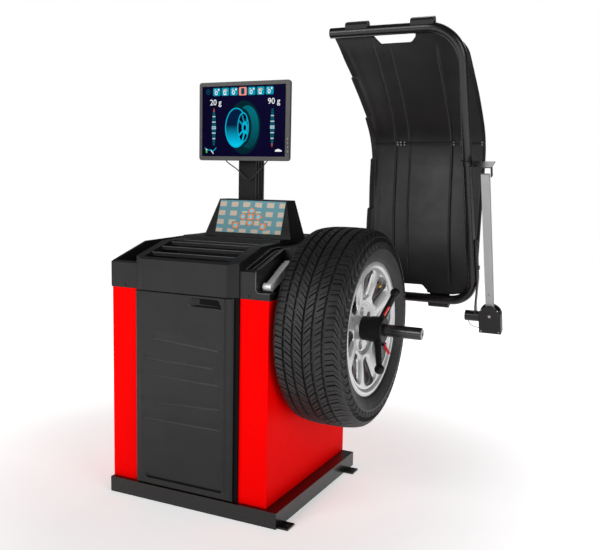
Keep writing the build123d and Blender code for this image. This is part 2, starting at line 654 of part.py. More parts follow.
with BuildPart() as wheel_rim:
    inside = mirrored(BARREL_INSIDE)
    barrel = RIM_HALF + mirrored(RIM_HALF) + list(reversed(BARREL_INSIDE)) + list(reversed(inside))
    revolve(turned(barrel), axis=SPINDLE)
    revolve(turned(DISC), axis=SPINDLE)
    with BuildSketch(Plane.YZ.offset(HUB_FACE - 2)) as window_sketch:
        with Locations((0, SPINDLE_Z)):
            with PolarLocations(0, OPENINGS, start_angle=90 + OPENING_PHASE):
                Polygon((101, -10), (181, -38), (181, 38), (101, 10), align=None)
        fillet(window_sketch.vertices(), radius=8)
    extrude(amount=60, mode=Mode.SUBTRACT)
    with BuildSketch(Plane.YZ.offset(HUB_FACE)):
        with Locations((0, SPINDLE_Z)):
            with PolarLocations(BOLT_CIRCLE_R, 5, start_angle=106):
                Circle(7.5)
    extrude(amount=30, mode=Mode.SUBTRACT)

TYRE_OUT = [
    (311.2, 206),
    (309.9, 213),
    (306, 221.2),
    (298, 224),
    (290.5, 236),
    (285.5, 260),
    (288, 285),
    (295, 303),
    (303, 314),
    (318, 321.5),
    (360, 326.5),
]
TYRE_IN = [
    (331, 205.4),
    (322, 214),
    (310, 232),
    (301, 258),
    (303, 284),
    (311, 301),
    (328, 311),
    (362, 315),
]

with BuildPart() as tyre:
    bead = (311.8, RIM_SEAT_R + 1)
    section = [bead] + TYRE_OUT + mirrored(TYRE_OUT) + mirrored([bead])
    section += list(reversed(mirrored(TYRE_IN))) + list(reversed(TYRE_IN))
    revolve(turned(section), axis=SPINDLE)

VALVE_ANGLE, VALVE_FOOT_X, VALVE_FOOT_R, VALVE_LEAN = 40, 459.5, 191.74, 50.7
VALVE_FOOT = (
    VALVE_FOOT_X,
    VALVE_FOOT_R * sin(radians(VALVE_ANGLE)),
    SPINDLE_Z + VALVE_FOOT_R * cos(radians(VALVE_ANGLE)),
)
VALVE_DIRECTION = (
    cos(radians(VALVE_LEAN)),
    -sin(radians(VALVE_LEAN)) * sin(radians(VALVE_ANGLE)),
    -sin(radians(VALVE_LEAN)) * cos(radians(VALVE_ANGLE)),
)

with BuildPart() as valve_stem:
    stem_plane = Plane(origin=VALVE_FOOT, z_dir=VALVE_DIRECTION)
    with BuildSketch(stem_plane):
        Circle(4.8)
    extrude(amount=14)
    with BuildSketch(stem_plane.offset(14)):
        Circle(3.8)
    extrude(amount=22)

# ---------------------------------------------------------------- quick nut
LEVER_ANGLE, LEVER_REACH, LEVER_FLARE = 29, 131, 26
LEVER_X, KNOB_R = 524, 16
TRIGGER_X, TRIGGER_FOOT_R, TRIGGER_TIP_R, TRIGGER_TIP_X = 537, 46, 79, 556
TRIGGER_ANGLE = -6
TRIGGER_W, TRIGGER_T = 10, 6

with BuildPart() as pressure_cup:
    profile = [
        (HUB_OUT + 0.1, 31),
        (HUB_OUT + 0.1, CUP_R - 2),
        (HUB_OUT + 2, CUP_R),
        (NUT_L - 0.3, CUP_R),
        (NUT_L - 0.3, SHAFT_R + RUN),
        (NUT_L - 9, SHAFT_R + RUN),
        (NUT_L - 9, 31),
    ]
    revolve(turned(profile), axis=SPINDLE)


def spoke_point(x, radius, angle):
    """The point at radius from the spindle line, angle degrees from straight up towards +Y."""
    return Vector(x, radius * sin(radians(angle)), SPINDLE_Z + radius * cos(radians(angle)))


def trigger_plane(side):
    """A frame at a trigger's foot: x across the trigger, z along it outwards."""
    turn = TRIGGER_ANGLE + 180 * side
    foot = spoke_point(TRIGGER_X, TRIGGER_FOOT_R, turn)
    tip = spoke_point(TRIGGER_TIP_X, TRIGGER_TIP_R, turn)
    across = Vector(0, cos(radians(turn)), -sin(radians(turn)))
    return Plane(origin=foot, x_dir=across, z_dir=tip - foot)


with BuildPart() as quick_nut:
    profile = [
        (NUT_L, SHAFT_R + RUN),
        (NUT_L, NUT_R),
        (NUT_R_X - 3, NUT_R),
        (NUT_R_X, NUT_R - 3),
        (NUT_R_X, SHAFT_R + RUN),
    ]
    revolve(turned(profile), axis=SPINDLE)
    for side in (0, 1):
        foot = spoke_point(LEVER_X, NUT_R - 6, LEVER_ANGLE + 180 * side)
        knob = spoke_point(LEVER_X + LEVER_FLARE, LEVER_REACH, LEVER_ANGLE + 180 * side)
        lever_plane = Plane(origin=foot, z_dir=knob - foot)
        with BuildSketch(lever_plane):
            Circle(12)
        extrude(amount=(knob - foot).length, taper=1.6)
        with Locations(knob):
            Sphere(KNOB_R)
        hinge = trigger_plane(side)
        with BuildSketch(hinge.offset(-7)):
            with Locations((-TRIGGER_W / 2 - 2.3, 0), (TRIGGER_W / 2 + 2.3, 0)):
                Rectangle(4, 9)
        extrude(amount=13)
        pin_plane = Plane(origin=hinge.origin + hinge.x_dir * (-TRIGGER_W / 2 - 4), z_dir=hinge.x_dir)
        with BuildSketch(pin_plane):
            Circle(1.5)
        extrude(amount=TRIGGER_W + 8)

trigger_parts = {}
for side, trigger_name in enumerate(("release_trigger_a", "release_trigger_b")):
    with BuildPart() as trigger:
        hinge = trigger_plane(side)
        with BuildSketch(hinge.offset(-1.8)):
            RectangleRounded(TRIGGER_W, TRIGGER_T, 1.5)
        extrude(amount=40)
        pin_plane = Plane(origin=hinge.origin - hinge.x_dir * TRIGGER_W, z_dir=hinge.x_dir)
        with BuildSketch(pin_plane):
            Circle(1.6)
        extrude(amount=2 * TRIGGER_W, mode=Mode.SUBTRACT)
    trigger_parts[trigger_name] = trigger

# ---------------------------------------------------------------- guard
with BuildPart() as hood_frame:
    with BuildLine(HOOD_FACE):
        low_leg = Line((TUBE_START, 0), (HOOD_X - BEND_LOW, 0))
        low_bend = JernArc(low_leg @ 1, low_leg % 1, BEND_LOW, 90)
        mast = Line(low_bend @ 1, (HOOD_X, HOOD_TOP - BEND_HIGH))
        high_bend = JernArc(mast @ 1, mast % 1, BEND_HIGH, 90)
        Line(high_bend @ 1, (TUBE_FREE_END, HOOD_TOP))
    with BuildSketch(Plane(origin=HOOD_FACE.from_local_coords((TUBE_START, 0, 0)), z_dir=(1, 0, 0))):
        Circle(TUBE_R)
        Circle(TUBE_R - TUBE_WALL, mode=Mode.SUBTRACT)
    sweep()

SHELL_CURVE = [
    (6, 6),
    (58, 120),
    (118, 250),
    (182, 380),
    (219, 455),
    (236, 515),
    (228, 585),
    (176, 700),
    (115, 800),
    (56, 890),
    (4, 956),
]
SHELL_OUTLINE = [
    (SHELL_L, 30),
    (SHELL_L + 14, 17),
    (420, 17),
    (430, 42),
    (536, 42),
    (546, 17),
    (SHELL_R_X - 95, 17),
    (SHELL_R_X - 28, 38),
    (SHELL_R_X, 98),
    (SHELL_R_X, 862),
    (SHELL_R_X - 28, 930),
    (SHELL_R_X - 95, 957),
    (570, 957),
    (560, 926),
    (440, 926),
    (430, 957),
    (SHELL_L + 14, 957),
    (SHELL_L, 944),
]
LIP_DEPTH, LIP_T = 12, 2.5
APEX_BACK = 238


def shell_strip(x_low, x_high):
    """The thin curved section of the guard's shell, as a slab from x_low to x_high."""
    with BuildPart() as slab:
        with BuildSketch(HOOD_SIDE.offset(x_low)):
            with BuildLine():
                front = Spline(*SHELL_CURVE)
                back = Spline(*[(back_n + SHELL_T, up) for back_n, up in SHELL_CURVE])
                Line(front @ 0, back @ 0)
                Line(front @ 1, back @ 1)
            make_face()
        extrude(amount=x_high - x_low)
    return slab.part


def shell_half(low_s, high_s, lip_s):
    """One half of the shell between two heights, with its bolting lip."""
    sheet = shell_strip(SHELL_L, SHELL_R_X)
    with BuildPart() as half:
        add(sheet)
        extrude(outline(HOOD_FACE.offset(-400), SHELL_OUTLINE), amount=500, mode=Mode.INTERSECT)
        with BuildSketch(HOOD_SIDE.offset(SHELL_L)):
            with Locations(((APEX_BACK - LIP_DEPTH / 2), lip_s)):
                Rectangle(LIP_DEPTH, LIP_T)
        extrude(amount=SHELL_R_X - SHELL_L)
        band = [(0, low_s), (900, low_s), (900, high_s), (0, high_s)]
        extrude(outline(HOOD_FACE.offset(-400), band), amount=500, mode=Mode.INTERSECT)
    return half


hood_shell_lower = shell_half(0, SEAM_S - 0.1, SEAM_S - 0.1 - LIP_T / 2)
hood_shell_upper = shell_half(SEAM_S + 0.1, HOOD_TOP, SEAM_S + 0.1 + LIP_T / 2)

CLAMP_W, CLAMP_T, CLAMP_LEG, CLAMP_RISE = 76, 3, 21, 31
CLAMPS = [(375, HOOD_TOP, 1), (598, HOOD_TOP, 1), (375, 0, -1), (591, 0, -1)]

with BuildPart() as hood_clamps:
    for clamp_x, clamp_s, side in CLAMPS:
        saddle = [
            (-13, 10),
            (-13, CLAMP_RISE - 7),
            (-6, CLAMP_RISE),
            (13, CLAMP_RISE),
            (TUBE_R + CLAMP_T, CLAMP_RISE - 7),
            (TUBE_R + CLAMP_T, -CLAMP_LEG),
            (TUBE_R, -CLAMP_LEG),
            (TUBE_R, 0),
        ]
        flipped = [(back, clamp_s + side * up) for back, up in saddle]
        extrude(outline(HOOD_SIDE.offset(clamp_x - CLAMP_W / 2), flipped), amount=CLAMP_W)
        with BuildSketch(HOOD_SIDE.offset(clamp_x - CLAMP_W / 2)):
            with Locations((0, clamp_s)):
                Circle(TUBE_R)
        extrude(amount=CLAMP_W, mode=Mode.SUBTRACT)

CHEEKS = (80, 246)
CHEEK_T = 12

with BuildPart() as hood_bearing_block:
    extrude(upright(68, 270, CAB_B, CAB_B + 6, 572), amount=130)
    for left in CHEEKS:
        cheek = [
            (CAB_B + 6, 584),
            (PIVOT_Y, PIVOT_Z - 34),
            (PIVOT_Y + 30, PIVOT_Z - 20),
            (PIVOT_Y + 30, PIVOT_Z + 20),
            (PIVOT_Y, PIVOT_Z + 34),
            (CAB_B + 6, 690),
        ]
        extrude(outline(Plane.YZ.offset(left), cheek), amount=CHEEK_T)
    with BuildSketch(Plane.YZ.offset(CHEEKS[0])):
        with Locations((PIVOT_Y, PIVOT_Z)):
            Circle(TUBE_R + RUN)
    extrude(amount=CHEEKS[1] + CHEEK_T - CHEEKS[0], mode=Mode.SUBTRACT)

with BuildPart() as hood_spring:
    with BuildLine():
        foot = (CHEEKS[0] + CHEEK_T + 8, PIVOT_Y, PIVOT_Z)
        coil = Helix(pitch=13, height=130, radius=23.5, center=foot, direction=(1, 0, 0))
    with BuildSketch(Plane(origin=coil @ 0, z_dir=coil % 0)):
        Circle(2.5)
    sweep(is_frenet=True)

# ---------------------------------------------------------------- width gauge
BAR_X, BAR_T = HOOD_X + TUBE_R, 6
BOSS_S, BOSS_R, BOSS_L = -31, 19, 702
GAUGE_HALF_W, GAUGE_HALF_T = 39, 16
GAUGE_LEFT, GAUGE_BOTTOM = GAUGE_X - GAUGE_HALF_W, -90
WIRE_R, WIRE_LOW = 1.25, -78

with BuildPart() as gauge_mount:
    bar = [
        (12, 247),
        (-12, 247),
        (-12, 84),
        (-GAUGE_F - 12, 10),
        (-GAUGE_F - 12, BOSS_S),
        (-GAUGE_F + 12, BOSS_S),
        (-GAUGE_F + 12, 20),
        (12, 96),
    ]
    extrude(outline(HOOD_SIDE.offset(BAR_X), bar), amount=BAR_T)
    with BuildSketch(HOOD_SIDE.offset(BOSS_L)):
        with Locations((-GAUGE_F, BOSS_S)):
            Circle(BOSS_R)
    extrude(amount=GAUGE_LEFT - BOSS_L)
    with BuildSketch(HOOD_SIDE.offset(BAR_X + BAR_T)):
        with Locations((0, 232), (0, 140)):
            RegularPolygon(8, 6)
    extrude(amount=5)


def gauge_outline(grow, depth):
    """The housing's flat-bottomed, round-topped outline, grow wider all round."""
    half = GAUGE_HALF_W + grow
    with BuildSketch(HOOD_FACE.offset(depth)) as face:
        with Locations((GAUGE_X, GAUGE_S)):
            Circle(half)
        with Locations((GAUGE_X, (GAUGE_S + GAUGE_BOTTOM - grow) / 2)):
            Rectangle(2 * half, GAUGE_S - GAUGE_BOTTOM + grow)
    return face.sketch


with BuildPart() as gauge_housing:
    extrude(gauge_outline(0, GAUGE_F - GAUGE_HALF_T), amount=2 * GAUGE_HALF_T)
    extrude(gauge_outline(-3, GAUGE_F - GAUGE_HALF_T + 3), amount=2 * GAUGE_HALF_T - 6, mode=Mode.SUBTRACT)
    with BuildSketch(HOOD_FACE.offset(GAUGE_F - ARM_T / 2 - 1.5)):
        with Locations((GAUGE_X, 12)):
            Rectangle(2 * GAUGE_HALF_W + 2, 30)
    extrude(amount=ARM_T + 3, mode=Mode.SUBTRACT)
    with BuildSketch(HOOD_FACE.offset(GAUGE_F - GAUGE_HALF_T)):
        with Locations((GAUGE_X, GAUGE_S)):
            Circle(5 + RUN)
    extrude(amount=2 * GAUGE_HALF_T, mode=Mode.SUBTRACT)

with BuildPart() as gauge_arm:
    with BuildSketch(HOOD_FACE.offset(GAUGE_F - ARM_T / 2)):
        with Locations((GAUGE_X, GAUGE_S)):
            Circle(17)
        with Locations((GAUGE_X, (GAUGE_S + ARM_END) / 2)):
            Rectangle(ARM_W, ARM_END - GAUGE_S)
    extrude(amount=ARM_T)
    with BuildSketch(HOOD_FACE.offset(GAUGE_F - ARM_T / 2)):
        with Locations((GAUGE_X, 62)):
            Circle(3)
    extrude(amount=ARM_T, mode=Mode.SUBTRACT)
    with BuildSketch(HOOD_FACE.offset(GAUGE_F - GAUGE_HALF_T)):
        with Locations((GAUGE_X, GAUGE_S)):
            Circle(5)
    extrude(amount=2 * GAUGE_HALF_T)
    hollow = outline(
        HOOD_SIDE.offset(GAUGE_X - ARM_W / 2 + 2),
        [(-GAUGE_F - 4, 90), (-GAUGE_F + 4, 90), (-GAUGE_F + 4, ARM_END), (-GAUGE_F - 4, ARM_END)],
    )
    extrude(hollow, amount=ARM_W - 4, mode=Mode.SUBTRACT)

PARK_S, PARK_T = 530, 3
PARK_R_X = GAUGE_X + ARM_W / 2 + 8

with BuildPart() as parking_bracket:
    with BuildSketch(HOOD_FACE.offset(-6)):
        with Locations(((BAR_X + PARK_R_X) / 2, PARK_S)):
            Rectangle(PARK_R_X - BAR_X, PARK_T)
    extrude(amount=GAUGE_F + 16)
    with BuildSketch(HOOD_FACE.offset(GAUGE_F - 8)):
        with Locations((PARK_R_X - PARK_T / 2, PARK_S - 16)):
            Rectangle(PARK_T, 34)
    extrude(amount=18)
    with BuildSketch(Plane(origin=HOOD_FACE.from_local_coords((HOOD_X, PARK_S - 8, 0)), z_dir=HOOD_UP)):
        Circle(TUBE_R + 3)
        Circle(TUBE_R, mode=Mode.SUBTRACT)
    extrude(amount=16)

WIRE_ROUTE = [
    (712, BOSS_S - BOSS_R, GAUGE_F),
    (712, WIRE_LOW, GAUGE_F),
    (GAUGE_LEFT, WIRE_LOW, GAUGE_F),
]
gauge_cable = corded([tuple(HOOD_FACE.from_local_coords(point)) for point in WIRE_ROUTE], WIRE_R)
print("gauge_cable bends", [round(value, 1) for value in bend_radii(WIRE_ROUTE)])

# ---------------------------------------------------------------- distance gauge
HANDLE_X, HANDLE_T, GRIP_R, GRIP_LEFT = 245, 22, 13, 6
ROD_L = WELL_R_X + 8

with BuildPart() as distance_rod:
    with BuildSketch(Plane.YZ.offset(ROD_L)):
        with Locations((ROD_Y, ROD_Z)):
            Circle(ROD_R)
    extrude(amount=HANDLE_X + HANDLE_T + 4 - ROD_L)

with BuildPart() as distance_handle:
    with BuildSketch(Plane.YZ.offset(HANDLE_X)) as lever_sketch:
        with Locations((ROD_Y, ROD_Z)):
            Circle(17)
        with Locations((GRIP_Y, GRIP_Z)):
            Circle(GRIP_R)
        with BuildLine():
            Polyline(
                (ROD_Y - 3, ROD_Z + 16),
                (ROD_Y - 42, ROD_Z + 1),
                (GRIP_Y + 3, GRIP_Z + 12),
                (GRIP_Y + 2, GRIP_Z - 12),
                (ROD_Y - 34, ROD_Z - 29),
                (ROD_Y + 8, ROD_Z - 14),
                close=True,
            )
        make_face()
    extrude(amount=HANDLE_T)
    with BuildSketch(Plane.YZ.offset(HANDLE_X - GRIP_LEFT)):
        with Locations((GRIP_Y, GRIP_Z)):
            Circle(GRIP_R)
    extrude(amount=HANDLE_T + GRIP_LEFT)
    with BuildSketch(Plane.YZ.offset(HANDLE_X)):
        with Locations((ROD_Y, ROD_Z)):
            Circle(ROD_R + RUN)
    extrude(amount=HANDLE_T, mode=Mode.SUBTRACT)
    with BuildSketch(Plane.YZ.offset(HANDLE_X + 12)):
        with Locations((GRIP_Y, GRIP_Z)):
            Circle(5)
    extrude(amount=10, mode=Mode.SUBTRACT)

# ---------------------------------------------------------------- electrics
ROCKER_X, ROCKER_GAP, ROCKER_SLOT_W = INLET_X + 20, 0.5, 21
ROCKER_PIN_R = 1.5
ROCKER_Y, ROCKER_TILT = CAB_B - 4, -7

with BuildPart() as power_inlet:
    flange_l, flange_r = INLET_X - MODULE_W / 2, INLET_X + MODULE_W / 2
    flange = upright(flange_l, flange_r, CAB_B + SHEET, CAB_B + SHEET + 3, INLET_Z - MODULE_H / 2)
    extrude(flange, amount=MODULE_H)
    body = upright(INLET_X - 34, INLET_X + 34, CAB_B - 26, CAB_B + SHEET, INLET_Z - 20)
    extrude(body, amount=40)
    socket = upright(INLET_X - 30, INLET_X + 2, CAB_B - 16, CAB_B + SHEET + 3, INLET_Z - 11)
    extrude(socket, amount=22, mode=Mode.SUBTRACT)
    slot_l, slot_r = ROCKER_X - ROCKER_SLOT_W / 2, ROCKER_X + ROCKER_SLOT_W / 2
    rocker_slot = upright(slot_l, slot_r, CAB_B - 14, CAB_B + SHEET + 3, INLET_Z - 15.5)
    extrude(rocker_slot, amount=31, mode=Mode.SUBTRACT)
    with BuildSketch(Plane.YZ.offset(ROCKER_X - ROCKER_SLOT_W / 2)):
        with Locations((ROCKER_Y, INLET_Z)):
            Circle(ROCKER_PIN_R)
    extrude(amount=ROCKER_SLOT_W)
    with BuildSketch(Plane.XZ.offset(-CAB_B - SHEET + 1)):
        with Locations((INLET_X - 22, INLET_Z - 3), (INLET_X - 14, INLET_Z + 4), (INLET_X - 6, INLET_Z - 3)):
            Rectangle(2, 6)
    extrude(amount=20)

ROCKER_PLANE = Plane(
    origin=(ROCKER_X - ROCKER_SLOT_W / 2 + ROCKER_GAP, ROCKER_Y, INLET_Z),
    x_dir=(0, cos(radians(ROCKER_TILT)), sin(radians(ROCKER_TILT))),
    z_dir=(1, 0, 0),
)

with BuildPart() as power_switch:
    rocker = [(-6, -6), (7, -13), (11, -13.5), (8, 0), (11, 13.5), (7, 13), (-6, 6)]
    extrude(outline(ROCKER_PLANE, rocker), amount=ROCKER_SLOT_W - 2 * ROCKER_GAP)
    with BuildSketch(ROCKER_PLANE):
        Circle(ROCKER_PIN_R + RUN)
    extrude(amount=ROCKER_SLOT_W, mode=Mode.SUBTRACT)

# y, z, size and height of the blocks that stand on the board
BOARD_BLOCKS = [(-60, 400, 60, 42), (40, 400, 44, 30), (-40, 500, 50, 24), (70, 500, 70, 36)]

with BuildPart() as power_board:
    board_x = CAB_L + SHEET
    extrude(upright(board_x, board_x + 14, -120, 140, 330), amount=14)
    extrude(upright(board_x, board_x + 14, -120, 140, 560), amount=14)
    extrude(upright(board_x + 14, board_x + 16, -120, 140, 330), amount=244)
    for block_y, block_z, size, height in BOARD_BLOCKS:
        block = upright(
            board_x + 16, board_x + 16 + height, block_y - size / 2, block_y + size / 2, block_z - size / 2
        )
        extrude(block, amount=size)

SCREW_R, SCREW_T = 5, 2.5
TRAY_SCREWS = [(-268, 716.5), (203, 717)]
PANEL_SCREWS = [(x, z) for x in (REAR_OPEN[0] - 5, REAR_OPEN[1] + 5) for z in (100, 390, 680)]

with BuildPart() as panel_screws:
    with BuildSketch(Plane.XZ.offset(-TRAY_F)):
        with Locations(*TRAY_SCREWS):
            Circle(SCREW_R)
    extrude(amount=SCREW_T)
    with BuildSketch(Plane.XZ.offset(-CAB_B - SHEET)):
        with Locations(*PANEL_SCREWS):
            Circle(SCREW_R)
    extrude(amount=-SCREW_T)

# ---------------------------------------------------------------- export
PIECES = {
    "base_frame": base_frame,
    "cabinet_shell": cabinet_shell,
    "rear_panel": rear_panel,
    "front_cover": front_cover,
    "tray": tray,
    "panel_screws": panel_screws,
    "keypad_housing": keypad_housing,
    "keypad_membrane": keypad_membrane,
    "monitor_column": monitor_column,
    "monitor_bracket": monitor_bracket,
    "monitor_back": monitor_back,
    "monitor_bezel": monitor_bezel,
    "screen_panel": screen_panel,
    "monitor_cable": monitor_cable,
    "spindle_shaft": spindle_shaft,
    "spindle_pulley": spindle_pulley,
    "bearing_housing": bearing_housing,
    "spindle_bearings": spindle_bearings,
    "support_bracket": support_bracket,
    "piezo_sensors": piezo_sensors,
    "drive_motor": drive_motor,
    "motor_pulley": motor_pulley,
    "drive_belt": drive_belt,
    "wheel_flange": wheel_flange,
    "cone_spring": cone_spring,
    "centring_cone": centring_cone,
    "wheel_rim": wheel_rim,
    "tyre": tyre,
    "valve_stem": valve_stem,
    "pressure_cup": pressure_cup,
    "quick_nut": quick_nut,
    "hood_frame": hood_frame,
    "hood_shell_lower": hood_shell_lower,
    "hood_shell_upper": hood_shell_upper,
    "hood_clamps": hood_clamps,
    "hood_bearing_block": hood_bearing_block,
    "hood_spring": hood_spring,
    "gauge_mount": gauge_mount,
    "gauge_housing": gauge_housing,
    "gauge_arm": gauge_arm,
    "parking_bracket": parking_bracket,
    "gauge_cable": gauge_cable,
    "distance_rod": distance_rod,
    "distance_handle": distance_handle,
    "power_inlet": power_inlet,
    "power_switch": power_switch,
    "power_board": power_board,
    **key_parts,
    **button_parts,
    **trigger_parts,
}

for name, piece in PIECES.items():
    piece.part.label = name
    export_step(piece.part, f"parts/{name}.step")
    print(name, len(piece.part.solids()), round(piece.part.volume))
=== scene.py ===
"""Looks for the car wheel balancer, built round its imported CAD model. Lengths here are in millimetres
until they reach Blender, which works in metres."""

import json
from math import atan2, cos, pi, radians, sin, sqrt

import bmesh
import bpy
import numpy as np
from mathutils import Matrix, Vector


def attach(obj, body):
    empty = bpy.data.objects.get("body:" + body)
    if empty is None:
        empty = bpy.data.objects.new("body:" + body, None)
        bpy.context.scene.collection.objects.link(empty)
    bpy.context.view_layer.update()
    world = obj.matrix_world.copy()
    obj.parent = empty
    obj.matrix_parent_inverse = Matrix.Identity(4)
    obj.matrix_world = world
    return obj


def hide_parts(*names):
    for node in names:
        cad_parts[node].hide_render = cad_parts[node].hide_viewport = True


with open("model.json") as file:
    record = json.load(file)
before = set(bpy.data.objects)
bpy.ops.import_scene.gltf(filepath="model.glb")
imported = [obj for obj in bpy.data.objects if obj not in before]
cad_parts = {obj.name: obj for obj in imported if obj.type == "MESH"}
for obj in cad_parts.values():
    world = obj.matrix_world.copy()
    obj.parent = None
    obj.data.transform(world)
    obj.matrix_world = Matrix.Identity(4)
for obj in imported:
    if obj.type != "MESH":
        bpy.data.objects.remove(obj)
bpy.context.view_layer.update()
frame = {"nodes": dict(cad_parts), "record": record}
MM = 0.001
nodes = frame["nodes"]
scene = bpy.context.scene
show = scene.collection.objects.link
BODY_OF = {node: body for body, members in frame["record"]["behaviour"]["bodies"].items() for node in members}
SLOT_OF = {part["node"]: part["material_slot"] for part in frame["record"]["subparts"]}

# ---- sizes shared with the CAD model
SPINDLE_Z = 598
WHEEL_MID = 402
PIVOT_Y, PIVOT_Z = 440, 647.6
LEAN = radians(20.2)
SHELL_L, SHELL_R = 290, 731
SEAM_S = 522
GAUGE_X, GAUGE_F = 791, 45
PAD_MID_Z, PAD_X = 942, 17
PAD_FOOT_Y, PAD_FOOT_Z, PAD_RUN, PAD_RISE = 10, 872, 43, 130
PAD_LEAN = atan2(PAD_RUN, PAD_RISE)


def hood(x, up, front):
    """A point given in the leaning guard's own frame, as one of the shared frame."""
    y = PIVOT_Y - up * sin(LEAN) - front * cos(LEAN)
    return Vector((x, y, PIVOT_Z + up * cos(LEAN) - front * sin(LEAN)))


def pad(x, up, out):
    """A point given on the keypad's slope, as one of the shared frame."""
    y = PAD_FOOT_Y + (PAD_MID_Z - PAD_FOOT_Z) * PAD_RUN / PAD_RISE
    y = y + up * sin(PAD_LEAN) - out * cos(PAD_LEAN)
    return Vector((PAD_X + x, y, PAD_MID_Z + up * cos(PAD_LEAN) + out * sin(PAD_LEAN)))


def about_spindle(x, radius, angle):
    """A point at radius from the spindle line, angle radians from straight up towards +Y."""
    return (x, radius * sin(angle), SPINDLE_Z + radius * cos(angle))


def clamp(value):
    """The value held between 0 and 1."""
    return max(0.0, min(1.0, value))


def step(value, low, high):
    """0 below low, 1 above high, smooth between."""
    t = clamp((value - low) / (high - low))
    return t * t * (3 - 2 * t)


def reading(knots, at):
    """The value at one place along a list of (place, value) pairs."""
    return float(np.interp(at, [k[0] for k in knots], [k[1] for k in knots]))


# ---- camera
EYE = (1.37517, -2.35447, 1.07898)
RIGHT = Vector((0.89836387, 0.43877801, 0.02040149))
UP = Vector((-0.07203737, 0.10135565, 0.99223871))
AHEAD = Vector((-0.43330472, 0.89286107, -0.12266267))
camera_data = bpy.data.cameras.new("camera")
camera = bpy.data.objects.new("camera", camera_data)
show(camera)
camera_data.sensor_width = 36
camera_data.lens = 46.8
camera_data.clip_start = 0.05
camera_data.clip_end = 60
turn = Matrix((RIGHT, UP, -AHEAD)).transposed()
camera.matrix_world = Matrix.Translation(EYE) @ turn.to_4x4()
scene.camera = camera
scene.view_settings.view_transform = "Standard"


# ---- mesh helpers
def link(name, mesh, body, slot, stands_for=(), mat=None):
    """Puts a mesh in the scene as a piece of one body, with its slot's material."""
    piece = bpy.data.objects.new(name, mesh)
    show(piece)
    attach(piece, body)
    if stands_for:
        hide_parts(*stands_for)
    if not mesh.materials:
        mesh.materials.append(mat or MATERIALS[slot])
    return piece


def made(name, points, faces):
    """A mesh from points in millimetres."""
    mesh = bpy.data.meshes.new(name)
    mesh.from_pydata([tuple(c * MM for c in point) for point in points], [], faces)
    mesh.validate()
    mesh.update()
    return mesh


def smooth(mesh, angle=35):
    """Smooth shading that stays sharp at edges steeper than angle."""
    bm = bmesh.new()
    bm.from_mesh(mesh)
    bmesh.ops.recalc_face_normals(bm, faces=bm.faces)
    limit = radians(angle)
    for face in bm.faces:
        face.smooth = True
    for edge in bm.edges:
        edge.smooth = len(edge.link_faces) == 2 and edge.calc_face_angle(0) < limit
    bm.to_mesh(mesh)
    bm.free()
    return mesh


def bevel(piece, width, segments=2, angle=32):
    """Rounds a piece's edges that are steeper than angle, width in millimetres."""
    rounding = piece.modifiers.new("rounding", "BEVEL")
    rounding.width = width * MM
    rounding.segments = segments
    rounding.limit_method = "ANGLE"
    rounding.angle_limit = radians(angle)
    rounding.harden_normals = True
    rounding.use_clamp_overlap = True
    return piece


def clean_copy(node, sharp):
    """The CAD node's mesh with its seams welded and its flat faces made whole."""
    mesh = nodes[node].data.copy()
    bm = bmesh.new()
    bm.from_mesh(mesh)
    bmesh.ops.remove_doubles(bm, verts=bm.verts, dist=0.00001)
    bmesh.ops.dissolve_limit(bm, angle_limit=radians(0.6), verts=bm.verts, edges=bm.edges)
    bm.to_mesh(mesh)
    bm.free()
    mesh.materials.clear()
    return smooth(mesh, sharp)


def soften(node, width, segments=2, mat=None, angle=32):
    """Replaces a CAD node with a copy whose edges are rounded like the real part's."""
    piece = link(node + "_body", clean_copy(node, angle + 3), BODY_OF[node], SLOT_OF[node], (node,), mat)
    return bevel(piece, width, segments, angle)


def grid(columns, rows, wrap=False, closed=False):
    """Quads over points laid out row by row. Wrap joins each row's ends, closed the last row to the first."""
    faces = []
    for r in range(rows - 1):
        for c in range(columns if wrap else columns - 1):
            d = (c + 1) % columns
            faces.append((r * columns + c, r * columns + d, (r + 1) * columns + d, (r + 1) * columns + c))
    if closed:
        last = (rows - 1) * columns
        faces += [(last + c, last + (c + 1) % columns, (c + 1) % columns, c) for c in range(columns)]
    return faces


def lathe(name, profile, steps):
    """A closed mesh turned round the spindle line from (x, radius) points."""
    points = [about_spindle(x, r, 2 * pi * i / steps) for x, r in profile for i in range(steps)]
    return smooth(made(name, points, grid(steps, len(profile), True, True)), 40)


def join(name, parts):
    """One mesh from several (points, faces) pairs."""
    points, faces = [], []
    for some, quads in parts:
        base = len(points)
        points += [tuple(p) for p in some]
        faces += [tuple(base + i for i in quad) for quad in quads]
    return made(name, points, faces)


def built(name, parts, body, slot, mat=None):
    """A piece made of several (points, faces) pairs."""
    return link(name, smooth(join(name, parts)), body, slot, mat=mat)


def prism(outline, place, low, high):
    """Points and faces of a slab: outline is (a, b) pairs that place turns into points at two depths."""
    count = len(outline)
    points = [place(a, b, low) for a, b in outline] + [place(a, b, high) for a, b in outline]
    faces = [tuple(reversed(range(count))), tuple(range(count, 2 * count))]
    faces += [(i, (i + 1) % count, count + (i + 1) % count, count + i) for i in range(count)]
    return points, faces


def rounded(width, height, radius, steps=4, at=(0, 0)):
    """The outline of a rectangle with round corners."""
    outline = []
    for sx, sy, start in ((1, 1, 0), (-1, 1, 90), (-1, -1, 180), (1, -1, 270)):
        cx, cy = at[0] + sx * (width / 2 - radius), at[1] + sy * (height / 2 - radius)
        for i in range(steps + 1):
            a = radians(start + 90 * i / steps)
            outline.append((cx + radius * cos(a), cy + radius * sin(a)))
    return outline


def disc(radius, steps=20, at=(0, 0)):
    """The outline of a circle."""
    angles = [2 * pi * i / steps for i in range(steps)]
    return [(at[0] + radius * cos(a), at[1] + radius * sin(a)) for a in angles]


# ---- materials
ROUGH_VARY, COAT_ROUGH, BUMP_DEPTH = 0.1, 0.12, 0.0004


